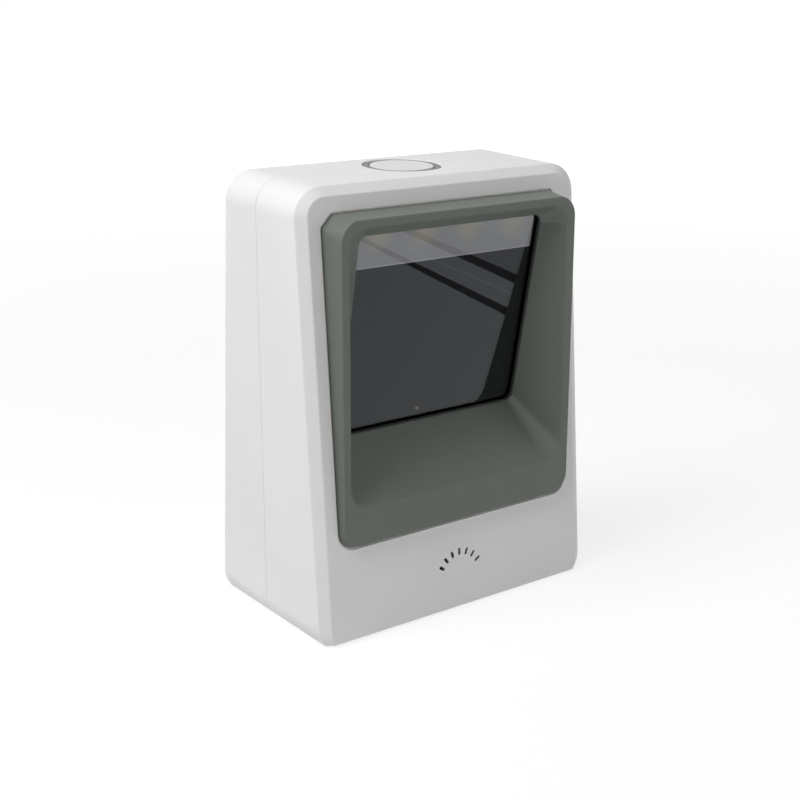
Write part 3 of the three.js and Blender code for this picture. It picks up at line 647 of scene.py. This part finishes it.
def hollow(side):
    """The space inside a half, running 1 mm past the seam; only the rear half has a fillet."""
    rings = []
    inner_fillet, steps = (REAR_FILLET - WALL, INNER_FILLET_STEPS) if side > 0 else (0.0, 0)
    for step in range(steps + 1):
        angle = math.radians(90 - 90 * step / max(steps, 1))
        inset = WALL + inner_fillet * (1 - math.cos(angle))
        back = WALL + inner_fillet * (1 - math.sin(angle))
        rings.append(housing_ring(inset, lambda z, b=back: side * (half_depth(z) - b), FLOOR))
    rings.append(housing_ring(WALL, -side * 1.0, FLOOR))
    return loft("hollow", rings)


CASE_SCREWS = [middle for low, high, middle in boxes_of("case_screw")]
BOARD_SCREWS = [middle for low, high, middle in boxes_of("board_screw")]


def foot_pockets(side):
    """Cutters for the two round pockets of the rubber feet in one half."""
    pockets = []
    for low, high, middle in boxes_of("rubber_foot"):
        if middle.y * side > 0:
            radius = (high.x - low.x) / 2 + GAP
            bottom, top = (middle.x, middle.y, -1), (middle.x, middle.y, high.z + GAP)
            pockets.append(bar(radius, bottom, top))
    return pockets


def slot_cutter(index):
    """A round-ended slot through the front wall, eased at the surface and wider behind."""
    middle = (SLOT_COUNT - 1) / 2
    angle = math.pi / 2 + (index - middle) * SLOT_STEP
    along = Vector((math.cos(angle), 0, math.sin(angle)))
    across = Vector((-math.sin(angle), 0, math.cos(angle)))
    rings = []
    for deep, flare in SLOT_PROFILE:
        radius = SLOT_WIDTH / 2 + flare
        reach = (SLOT_OUTER - SLOT_INNER - SLOT_WIDTH) / 2
        ring = []
        for end in (1, -1):
            for u, v in arc((0, 0), radius, -90, 90, 6):
                centre = along * ((SLOT_OUTER + SLOT_INNER) / 2)
                offset = along * (end * (reach + u)) + across * (end * v)
                point = centre + offset + Vector((0, 0, SLOT_CENTRE_Z))
                point.y = deep - half_depth(point.z)
                ring.append(point)
        rings.append(ring)
    return loft("slot", rings)


def button_hole():
    """The cutter for the hole in the top, with a narrow chamfer at its mouth."""
    chamfer = 0.25
    profile = [
        (0, HEIGHT - 2 * WALL), (BUTTON_HOLE, HEIGHT - 2 * WALL),
        (BUTTON_HOLE, HEIGHT - chamfer), (BUTTON_HOLE + chamfer, HEIGHT + 0.01),
        (BUTTON_HOLE + 1, HEIGHT + WALL), (0, HEIGHT + WALL),
    ]
    return lean(turned("button_hole", profile, sides=96))


FRONT_BOSS, REAR_BOSS, BOARD_BOSS = 3.6, 4.2, 3.0  # radii
CASE_SCREW_HOLE, BOARD_SCREW_HOLE = 1.7, 1.1
BOARD_HOLE_END = 24.3             # y
RIB_LOW, RIB_HIGH = 28, 124       # heights of the locating ribs inside the seam
RIB_FRONT, RIB_BACK = -4, 2       # y that they reach across it
RIB_THICK = 1.3
THROUGH = -60.0                   # y well in front of the scanner
APERTURE_END = -21.0              # y where the cut for the surround stops
RECESS_CHAMFER = 0.12
SCREW_SEAT = 8.0                  # y that a case screw's head sits at
LABEL_POCKET = 0.7


def make_front_housing():
    """The front half, with the opening, recess, slots, pockets, bosses and ribs."""
    piece = front_skin()
    combine(piece, [hollow(-1)])
    bosses = [
        bar(FRONT_BOSS, (p.x, WALL / 2 - half_depth(p.z), p.z), (p.x, -GAP / 2, p.z))
        for p in CASE_SCREWS
    ]
    ribs = []
    for side in (-1, 1):
        inner, outer = HALF_WIDTH - WALL - RIB_THICK, HALF_WIDTH - WALL - GAP
        for reach, back in ((outer + 2 * GAP, -GAP), (outer, RIB_BACK)):
            low_x, high_x = sorted((side * inner, side * reach))
            ribs.append(block((low_x, RIB_FRONT, RIB_LOW), (high_x, back, RIB_HIGH)))
    combine(piece, bosses + ribs, "UNION")
    recess = grown(SURROUND_FOOT, REVEAL)
    cutters = [
        loft("aperture", [upright_ring(APERTURE, y) for y in (THROUGH, APERTURE_END)]),
        loft("recess", [
            upright_ring(grown(recess, RECESS_CHAMFER), THROUGH),
            upright_ring(grown(recess, RECESS_CHAMFER), lambda z: -half_depth(z)),
            upright_ring(recess, lambda z: 0.15 - half_depth(z)),
            upright_ring(recess, lambda z: RECESS - half_depth(z)),
        ]),
    ]
    cutters += [bar(CASE_SCREW_HOLE, (p.x, -12, p.z), (p.x, 1, p.z)) for p in CASE_SCREWS]
    cutters += [slot_cutter(index) for index in range(SLOT_COUNT)]
    cutters += foot_pockets(-1)
    cutters.append(button_hole())
    combine(piece, cutters)
    shade(tidy(piece), 30)
    finish_piece(piece, HOUSING, WHITE, "white_shell", "front_shell")


def make_rear_housing():
    """The rear half, with its screw wells, socket hole, label pocket and foot pockets."""
    piece = rear_skin()
    combine(piece, [hollow(1)])
    bosses = [
        bar(REAR_BOSS, (p.x, GAP / 2, p.z), (p.x, half_depth(p.z) - WALL / 2, p.z))
        for p in CASE_SCREWS
    ]
    board_back = cad_box("main_board")[1].y
    bosses += [
        bar(BOARD_BOSS, (p.x, board_back + GAP, p.z), (p.x, half_depth(p.z) - WALL / 2, p.z))
        for p in BOARD_SCREWS
    ]
    combine(piece, bosses, "UNION")
    cutters = [bar(CASE_SCREW_HOLE, (p.x, -1, p.z), (p.x, 12, p.z)) for p in CASE_SCREWS]
    well = 3.1                    # radius of the deep hole that a screw's head sits in
    for p in CASE_SCREWS:
        deep = half_depth(p.z) - SCREW_SEAT
        profile = [(0, 0), (well, 0), (well, deep - 0.3), (well + 0.4, deep + 0.1),
                   (well + 1.4, deep + 1.1), (0, deep + 1.1)]
        cutters.append(turned("counterbore", profile, (p.x, SCREW_SEAT, p.z), "Y", 48))
    cutters += [
        bar(BOARD_SCREW_HOLE, (p.x, board_back, p.z), (p.x, BOARD_HOLE_END, p.z))
        for p in BOARD_SCREWS
    ]
    low, high = cad_box("cable_socket")
    hole = dict(half=high.x + GAP, low=low.z - GAP, high=high.z + GAP, radius=0.8)
    cutters.append(loft("socket_hole", [
        upright_ring(hole, low.y),
        upright_ring(hole, lambda z: half_depth(z) - 0.5),
        upright_ring(grown(hole, 0.5), lambda z: half_depth(z)),
        upright_ring(grown(hole, 2.5), lambda z: half_depth(z) + 2),
    ]))
    low, high = cad_box("blank_label")
    label_top = UNDERSIDE + LABEL_POCKET
    cutters.append(block((low.x - GAP, low.y - GAP, 0), (high.x + GAP, high.y + GAP, label_top)))
    cutters += foot_pockets(1)
    cutters.append(button_hole())
    combine(piece, cutters)
    shade(tidy(piece), 30)
    finish_piece(piece, HOUSING, WHITE, "white_shell", "rear_shell")


# ---------------- window


def to_pane(x, up, out):
    """A point given in the leaning pane's own axes: across, up the pane, out to the viewer."""
    sine, cosine = math.sin(PANE_TILT), math.cos(PANE_TILT)
    return PANE_CENTRE + Vector((x, -sine * up - cosine * out, cosine * up - sine * out))


def pane_ring(margin, out):
    """A ring round the pane, a margin larger than the funnel's inner end."""
    shape = dict(
        half=PANE_HALF + margin,
        low=-PANE_RISE - margin,
        high=PANE_RISE + margin,
        radius=max(PANE_RADIUS + margin, 1.0),
    )
    return [to_pane(x, up, out) for x, up in outline(**shape)]


def quarter(first, corner, last, steps=5):
    """Rings that bend smoothly from one ring to another round a corner ring."""
    rings = []
    for step in range(steps + 1):
        t = step / steps
        rings.append([
            (1 - t) ** 2 * a + 2 * t * (1 - t) * b + t * t * c
            for a, b, c in zip(first, corner, last)
        ])
    return rings


def make_surround():
    """One closed skin: up the outside, over the rim, down the funnel and back round behind."""
    def at_foot(z):
        return RECESS - GAP - half_depth(z)

    rim = 0.5                     # rounding of the outer front edge
    lip = 1.0                     # rounding where the rim turns into the funnel
    foot = upright_ring(SURROUND_FOOT, at_foot)
    foot_in = upright_ring(grown(SURROUND_FOOT, -0.3), at_foot)
    front = upright_ring(SURROUND, SURROUND_FRONT)
    front_in = upright_ring(grown(SURROUND, -rim), SURROUND_FRONT)
    mouth = upright_ring(MOUTH, SURROUND_FRONT)
    mouth_out = upright_ring(grown(MOUTH, lip * 0.6), SURROUND_FRONT)
    opening = pane_ring(0, 0)

    def towards(ring, other, distance):
        """Each point of a ring moved a distance towards its partner on another."""
        moved = []
        for a, b in zip(ring, other):
            span = (b - a).length
            moved.append(a.lerp(b, min(0.45, distance / span) if span > 1e-6 else 0))
        return moved

    rings = quarter(foot_in, foot, towards(foot, front, 0.3), 2)
    rings += quarter(towards(front, foot, rim), front, front_in, 6)
    rings += quarter(mouth_out, mouth, towards(mouth, opening, lip), 6)
    rings += quarter(towards(opening, mouth, 0.2), opening, pane_ring(0, -0.2), 2)
    rings += [pane_ring(0, -LEDGE), pane_ring(POCKET_MARGIN, -LEDGE)]
    rings += [pane_ring(POCKET_MARGIN, -POCKET_DEEP), pane_ring(FRAME_MARGIN, -POCKET_DEEP)]
    rings += [pane_ring(FRAME_MARGIN, -1.0), upright_ring(BEHIND, at_foot)]
    piece = loft("surround", rings, closed=True)
    shade(piece, 50)
    finish_piece(piece, HOUSING, GREY, "grey_surround", "window_surround")


def make_gasket():
    """A seal with a rounded inner lip that shows as a thin dark line round the pane."""
    outer = POCKET_MARGIN - GAP
    middle = (GASKET_OUT + GASKET_BACK) / 2
    lip = pane_ring(-GASKET_LIP, middle)
    rings = [pane_ring(outer, GASKET_OUT)]
    rings += quarter(pane_ring(0.1, GASKET_OUT), pane_ring(-GASKET_LIP, GASKET_OUT), lip, 3)
    rings += quarter(lip, pane_ring(-GASKET_LIP, GASKET_BACK), pane_ring(0.1, GASKET_BACK), 3)
    rings.append(pane_ring(outer, GASKET_BACK))
    piece = loft("window_seal", rings, closed=True)
    shade(piece, 50)
    finish_piece(piece, HOUSING, SEAL, "window_seal", "window_gasket")


def make_pane():
    """The smoked pane, with a polished bevel round both faces."""
    edge = POCKET_MARGIN - GAP
    bevel = 0.25
    rings = [
        pane_ring(edge - bevel, PANE_OUT), pane_ring(edge, PANE_OUT - bevel),
        pane_ring(edge, PANE_BACK + bevel), pane_ring(edge - bevel, PANE_BACK),
    ]
    piece = loft("smoked_pane", rings)
    shade(piece, 30)
    finish_piece(piece, HOUSING, PANE, "smoked_window", "scan_window")


# ---------------- button

CAP_RADIUS, CAP_INSIDE = 10.85, 9.4
CAP_UNDER = 147.4                 # underside of the cap's top
CAP_DISH = 0.12                   # the middle of the cap is this much lower than its edge
SKIRT_LOW, SKIRT_HIGH = 142.6, 143.6  # the flange at the foot of the cap's skirt
STEM_RADIUS, STEM_LOW = 2.4, 140.0
NEAR_AXIS = 0.001


def make_button():
    """The hollow cap with its stem and flange, very slightly dished on top."""
    low, high = cad_box("button_cap")
    flange = (high.x - low.x) / 2
    dished = HEIGHT - CAP_DISH
    outline_points = rounded([
        (NEAR_AXIS, STEM_LOW), (STEM_RADIUS, STEM_LOW), (STEM_RADIUS, CAP_UNDER),
        (CAP_INSIDE, CAP_UNDER), (CAP_INSIDE, SKIRT_LOW), (flange, SKIRT_LOW),
        (flange, SKIRT_HIGH), (CAP_RADIUS, SKIRT_HIGH), (CAP_RADIUS, HEIGHT),
        (6.0, HEIGHT - CAP_DISH / 2), (NEAR_AXIS, dished),
    ], 0.35, 4)
    profile = [(0, STEM_LOW)] + outline_points[1:-1] + [(0, dished)]
    piece = lean(turned("push_button", profile, sides=96))
    shade(piece, 40)
    finish_piece(piece, BUTTON, CAP_WHITE, "white_shell", "button_cap")


RING_RECESS = 0.12                # the ring stands this far below the top
RING_INNER, RING_OUTER, RING_FLANGE = 11.15, 13.15, 15
RING_LOW = 143.9


def make_light_ring():
    """The ring, held by a flange under the housing's top."""
    flange_top = HEIGHT - WALL - GAP
    flange_low = flange_top - 1.6
    foot, top = RING_OUTER - 0.6, HEIGHT - RING_RECESS
    start = (RING_INNER, (RING_LOW + top) / 2)
    corners = [
        start, (RING_INNER, RING_LOW), (foot, RING_LOW), (foot, flange_low),
        (RING_FLANGE, flange_low), (RING_FLANGE, flange_top), (RING_OUTER, flange_top),
        (RING_OUTER, top), (RING_INNER, top), start,
    ]
    piece = lean(turned("light_ring_lens", rounded(corners, 0.3, 4), sides=96))
    shade(piece, 40)
    finish_piece(piece, HOUSING, DIFFUSER, "ring_diffuser", "light_ring")


SPRING_LOW, SPRING_HIGH = 135.75, 146.75  # of the wire's middle


def make_spring():
    """The coil round the switch, with flat end turns."""
    coil, wire, turns, steps = 7.0, 0.35, 4, 24
    rise = (SPRING_HIGH - SPRING_LOW) / (turns - 1)
    rings = []
    for step in range(turns * steps + 1):
        turn = step / steps
        angle = math.tau * turn
        share = min(max(turn - 0.5, 0.0), turns - 1.0)
        outward = Vector((math.cos(angle), math.sin(angle), 0))
        along = Vector((-math.sin(angle), math.cos(angle), rise / math.tau / coil)).normalized()
        across = along.cross(outward)
        middle = outward * coil + Vector((0, 0, SPRING_LOW + share * rise))
        rings.append([
            middle + outward * (wire * math.cos(a)) + across * (wire * math.sin(a))
            for a in (math.tau * i / 10 for i in range(10))
        ])
    piece = lean(loft("coil_spring", rings))
    shade(piece, 60)
    finish_piece(piece, HOUSING, STEEL, "bright_steel", "return_spring")
    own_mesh(piece)


# ---------------- feet, screws and socket


def make_feet():
    """Four round pads, each with a shallow dish in its sole."""
    for number, (low, high, middle) in enumerate(boxes_of("rubber_foot"), 1):
        radius, tall = (high.x - low.x) / 2, high.z
        profile = [(0, 0.12), (radius - 2.2, 0.12), (radius - 1.9, 0.0)]
        profile += arc((radius - 0.7, 0.7), 0.7, -90, 0, 6)
        profile += [(radius, tall - 0.2), (radius - 0.2, tall), (0, tall)]
        piece = turned(f"foot_pad_{number}", profile, (middle.x, middle.y, 0), sides=64)
        shade(piece, 40)
        finish_piece(piece, HOUSING, FOOT_RUBBER, "rubber_feet", f"rubber_foot_{number}")


THREAD_CREST, THREAD_ROOT, THREAD_TURNS = 1.4, 1.12, 12
HEAD_TALL, HEAD_DOME = 2.0, 0.9
CROSS_REACH, CROSS_HALF = 1.5, 0.28  # arms of the cross recess


def make_case_screws():
    """Four pan-head screws with a turned thread and a cross recess."""
    for number, (low, high, middle) in enumerate(boxes_of("case_screw"), 1):
        radius = (high.x - low.x) / 2
        seat = high.y - HEAD_TALL
        thread = []
        start, end = low.y + 1.2, seat - 0.6
        for step in range(THREAD_TURNS * 2 + 1):
            reach = THREAD_CREST if step % 2 else THREAD_ROOT
            thread.append((reach, start + (end - start) * step / (THREAD_TURNS * 2)))
        profile = [(0, low.y), (0.5, low.y + 0.2)] + thread
        profile += [(THREAD_CREST, seat - 0.3), (THREAD_CREST, seat)]
        profile += [(radius - 0.1, seat), (radius, seat + 0.15)]
        profile += arc((radius - HEAD_DOME, high.y - HEAD_DOME), HEAD_DOME, 0, 90, 5)
        profile.append((0, high.y))
        piece = turned(f"pan_screw_{number}", profile, (middle.x, 0, middle.z), "Y", 40)
        cross = []
        for wide, tall in ((CROSS_REACH, CROSS_HALF), (CROSS_HALF, CROSS_REACH)):
            cross.append(block(
                (middle.x - wide, high.y - 1.1, middle.z - tall),
                (middle.x + wide, high.y + 1.0, middle.z + tall)))
        combine(piece, [combine(cross[0], [cross[1]], "UNION")])
        shade(tidy(piece), 35)
        finish_piece(piece, HOUSING, STEEL, "bright_steel", f"case_screw_{number}")


JACK_MOUTH = dict(half=5.6, low=9.6, high=17.2, radius=0.4)
JACK_KEY = dict(half=2.2, low=16.8, high=18.6)  # the latch's notch over the mouth
CONTACT_COUNT, CONTACT_PITCH = 10, 1.02
CONTACT_HALF_WIDTH, CONTACT_HALF_THICK = 0.17, 0.12


def make_socket():
    """A modular jack with a keyed mouth, and its row of spring contacts."""
    low, high = cad_box("cable_socket")
    body = dict(half=high.x, low=low.z, high=high.z, radius=0.5)
    piece = loft("modular_jack", [
        upright_ring(grown(body, -0.2), low.y), upright_ring(body, low.y + 0.2),
        upright_ring(body, high.y - 0.25), upright_ring(grown(body, -0.25), high.y),
    ])
    mouth = loft("mouth", [
        upright_ring(JACK_MOUTH, low.y + 1.2), upright_ring(JACK_MOUTH, high.y - 0.4),
        upright_ring(grown(JACK_MOUTH, 0.4), high.y),
        upright_ring(grown(JACK_MOUTH, 1.4), high.y + 1),
    ])
    key = block(
        (-JACK_KEY["half"], low.y + 4, JACK_KEY["low"]),
        (JACK_KEY["half"], high.y + 1, JACK_KEY["high"]))
    combine(piece, [mouth, key])
    shade(tidy(piece), 30)
    finish_piece(piece, HOUSING, SOCKET_BLACK, "black_plastic", "cable_socket")

    bm = bmesh.new()
    route = rounded([
        (low.y + 1.6, 15.6), (low.y + 2.2, 10.2), (low.y + 9.4, 10.2), (low.y + 4.4, 12.4),
    ], 0.8, 4)
    for index in range(CONTACT_COUNT):
        x = (index - (CONTACT_COUNT - 1) / 2) * CONTACT_PITCH
        rows = []
        for (y, z), (next_y, next_z) in zip(route, route[1:] + [route[-1]]):
            along = Vector((next_y - y, next_z - z))
            if along.length < 1e-6:
                along = Vector((route[-1][0] - route[-2][0], route[-1][1] - route[-2][1]))
            side = Vector((-along.y, along.x)).normalized() * CONTACT_HALF_THICK
            rows.append([
                bm.verts.new((x + dx * CONTACT_HALF_WIDTH, y + sign * side.x, z + sign * side.y))
                for dx, sign in ((-1, -1), (1, -1), (1, 1), (-1, 1))
            ])
        bm.faces.new(rows[0])
        bm.faces.new(reversed(rows[-1]))
        for near, far in zip(rows, rows[1:]):
            for i in range(4):
                j = (i + 1) % 4
                bm.faces.new((near[i], near[j], far[j], far[i]))
    contacts = new_piece("jack_contacts", bm)
    shade(contacts, 35)
    finish_piece(contacts, HOUSING, GOLD, "bright_steel")


make_front_housing()
make_rear_housing()
make_surround()
make_gasket()
make_pane()
make_button()
make_light_ring()
make_spring()
make_feet()
make_case_screws()
make_socket()

# ---------------- CAD nodes that keep their shape

KEPT = {
    BLACK: ["light_hood", "lens_holder", "lens_barrel", "button_cup", "switch_plunger"],
    BOARD: ["camera_board", "main_board", "button_board"],
    BLACK_BOARD: ["led_board", "sensor_board"],
    # the diffuser's glow is painted light
    MILKY_PAINTED_GLOW: ["light_diffuser"],
    CHIP: ["image_sensor", "memory_chip", "power_coil", "switch_body"],
    STEEL: ["ballast_plate", "speaker_basket", "speaker_magnet"]
    + [f"board_screw_{n}" for n in range(1, 5)],
    TIN: ["processor_shield"],
    LABEL: ["blank_label", "ribbon_connector"],
    LENS: ["camera_lens"],
    LAMP: ["presence_sensor"] + [f"scan_led_{n}" for n in range(1, 5)]
    + [f"ring_led_{n}" for n in range(1, 4)],
    PAPER: ["speaker_cone"],
    SEAL: ["speaker_gasket"],
    LEAD: ["button_lead", "speaker_lead"],
}
ROUND_NODES = {"button_lead", "speaker_lead", "camera_lens", "speaker_cone"}
EASED = 0.12                      # width of the small bevel


def dress(node, material):
    """Gives a CAD node its material, and eases its edges with modifiers."""
    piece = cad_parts[node]
    piece.data.materials.clear()
    piece.data.materials.append(material)
    piece.data.shade_smooth()
    weld = piece.modifiers.new("weld", "WELD")
    weld.merge_threshold = 1e-6
    if node not in ROUND_NODES:
        bevel = piece.modifiers.new("eased_edges", "BEVEL")
        bevel.width = EASED * MM
        bevel.segments = 2
        bevel.limit_method = "ANGLE"
        bevel.angle_limit = math.radians(40)
        bevel.harden_normals = True
    piece.modifiers.new("weighted_normals", "WEIGHTED_NORMAL").keep_sharp = True


for kept_material, kept_nodes in KEPT.items():
    for kept_node in kept_nodes:
        dress(kept_node, kept_material)

# ---------------- stage, light and camera


def glowing(name, strength):
    """A white that only shines, for cards."""
    material = bpy.data.materials.new(name)
    material.use_nodes = True
    nodes = material.node_tree.nodes
    nodes.clear()
    emission = nodes.new("ShaderNodeEmission")
    emission.inputs["Strength"].default_value = strength
    output = nodes.new("ShaderNodeOutputMaterial")
    material.node_tree.links.new(emission.outputs["Emission"], output.inputs["Surface"])
    return material


def card(name, corners, material):
    """A flat card that only glossy surfaces see."""
    bm = bmesh.new()
    bm.faces.new([bm.verts.new(corner) for corner in corners])
    piece = new_piece(name, bm)
    piece.data.materials.append(material)
    piece.visible_camera = piece.visible_diffuse = False
    piece.visible_shadow = piece.visible_transmission = False


def square(reach, height):
    """The corners of a level square round the scanner."""
    return [(x * reach, y * reach, height) for x, y in ((-1, -1), (1, -1), (1, 1), (-1, 1))]


FLOOR_REACH, SHEET_REACH = 40000, 4000
GLOW_NEAR, GLOW_FAR = 0.35, 1.6   # metres from the scanner, between which the floor brightens


def make_floor():
    """Two sheets in one place: the one that the camera sees, and one just under it that throws
    light back up at the scanner. What glossy surfaces mirror is a card over them."""
    seen = Look("pale_floor", (0.22, 0.22, 0.22), 0.7)
    seen.tint(seen.noise(80, 2), 0.004)
    seen.set("Specular IOR Level", 0.0)
    seen.set("Emission Color", (1, 1, 1, 1))
    spread = seen.nodes.new("ShaderNodeVectorMath")
    spread.operation = "LENGTH"
    seen.links.new(seen.place, spread.inputs[0])
    glow = seen.ranged(spread.outputs["Value"], 0.81, 1.0, GLOW_NEAR, GLOW_FAR)
    seen.links.new(glow, seen.shader.inputs["Emission Strength"])
    bounce = Look("floor_bounce", (0.6, 0.6, 0.6), 1.0)
    bounce.tint(bounce.noise(80, 2), 0.004)
    for name, look, reach, height in (
        ("floor", seen, FLOOR_REACH, 0), ("under_floor", bounce, SHEET_REACH, -0.5),
    ):
        bm = bmesh.new()
        bm.faces.new([bm.verts.new(corner) for corner in square(reach, height)])
        sheet = new_piece(name, bm)
        sheet.data.materials.append(look.material)
        sheet.visible_camera = sheet.visible_transmission = look is seen
        sheet.visible_glossy = False
        sheet.visible_diffuse = look is bounce
        sheet.visible_shadow = False


AIM = Vector((0, 0, 0.08))        # metres


def area_light(name, place, side, power):
    """A square lamp that faces the scanner."""
    data = bpy.data.lights.new(name, "AREA")
    data.size = side
    data.energy = power
    light = in_scene(name, data)
    light.location = place
    light.rotation_mode = "QUATERNION"
    light.rotation_quaternion = (AIM - place).to_track_quat("-Z", "Y")
    return light


def make_world():
    """A white room that is seen and mirrored; the lamps alone do the lighting."""
    world = bpy.data.worlds.new("studio")
    bpy.context.scene.world = world
    world.use_nodes = True
    background = world.node_tree.nodes["Background"]
    background.inputs["Color"].default_value = (1, 1, 1, 1)
    world.cycles_visibility.diffuse = False


def make_camera():
    """Stands left of the scanner and above it, turned right and tipped down."""
    heading, tip = math.radians(36.46), math.radians(16.52)
    data = bpy.data.cameras.new("camera")
    data.lens = 62.83
    data.sensor_width = 36
    data.clip_start = 0.01
    data.clip_end = 20
    camera = in_scene("camera", data)
    camera.location = Vector((-282.49, -381.34, 207.95)) * MM
    camera.rotation_euler = (math.radians(90) - tip, 0, -heading)
    bpy.context.scene.camera = camera


def make_reflections():
    """What glossy surfaces mirror below them: a white floor, and on it, in front of the pane,
    two dark strips, a bright line between them, and a dimmer patch beyond. Their edges run
    x = start + slope * y."""
    card("mirrored_floor", square(SHEET_REACH, 0.1), glowing("mirrored_white", 1.0))
    far, near, height = -330, -110, 0.5
    dark, dim = glowing("dark_strip", 0.10), glowing("dim_patch", 0.78)
    bright = glowing("bright_line", 1.35)
    for name, material, left, right in (
        ("lower_strip", dark, (219.0, 0.429), (235.1, 0.484)),
        ("upper_strip", dark, (265.7, 0.495), (289.5, 0.570)),
        ("line", bright, (266.6, 0.583), (268.0, 0.583)),
        ("patch", dim, (289.5, 0.570), (330.0, 0.570)),
    ):
        card(name, [
            (left[0] + left[1] * near, near, height), (right[0] + right[1] * near, near, height),
            (right[0] + right[1] * far, far, height), (left[0] + left[1] * far, far, height),
        ], material)


make_floor()
make_reflections()
make_world()
make_camera()


LAMP_AWAY = 1.4                   # metres


def placed(turn, rise):
    """A place on a dome round the scanner: turn is to the right of straight in front."""
    turn, rise = math.radians(turn), math.radians(rise)
    level = math.cos(rise)
    return Vector((math.sin(turn) * level, -math.cos(turn) * level, math.sin(rise))) * LAMP_AWAY


MIRRORED_LAMPS = ("key", "left_softbox")  # the others would show as patches in the pane
for lamp, turn, rise, side, power in (
    ("key", -90, 65, 0.8, 11.0),
    ("left_softbox", -90, 40, 0.8, 8.9),
    ("front_fill", 0, 10, 0.8, 3.7),
    ("right_fill", 45, 10, 0.8, 2.2),
    ("rear_fill", 150, 4, 0.5, 4.0),
    ("far_side_fill", 108, 3, 0.5, 4.5),
):
    area_light(lamp, placed(turn, rise), side, power).visible_glossy = lamp in MIRRORED_LAMPS

bpy.context.scene.view_settings.view_transform = "Standard"
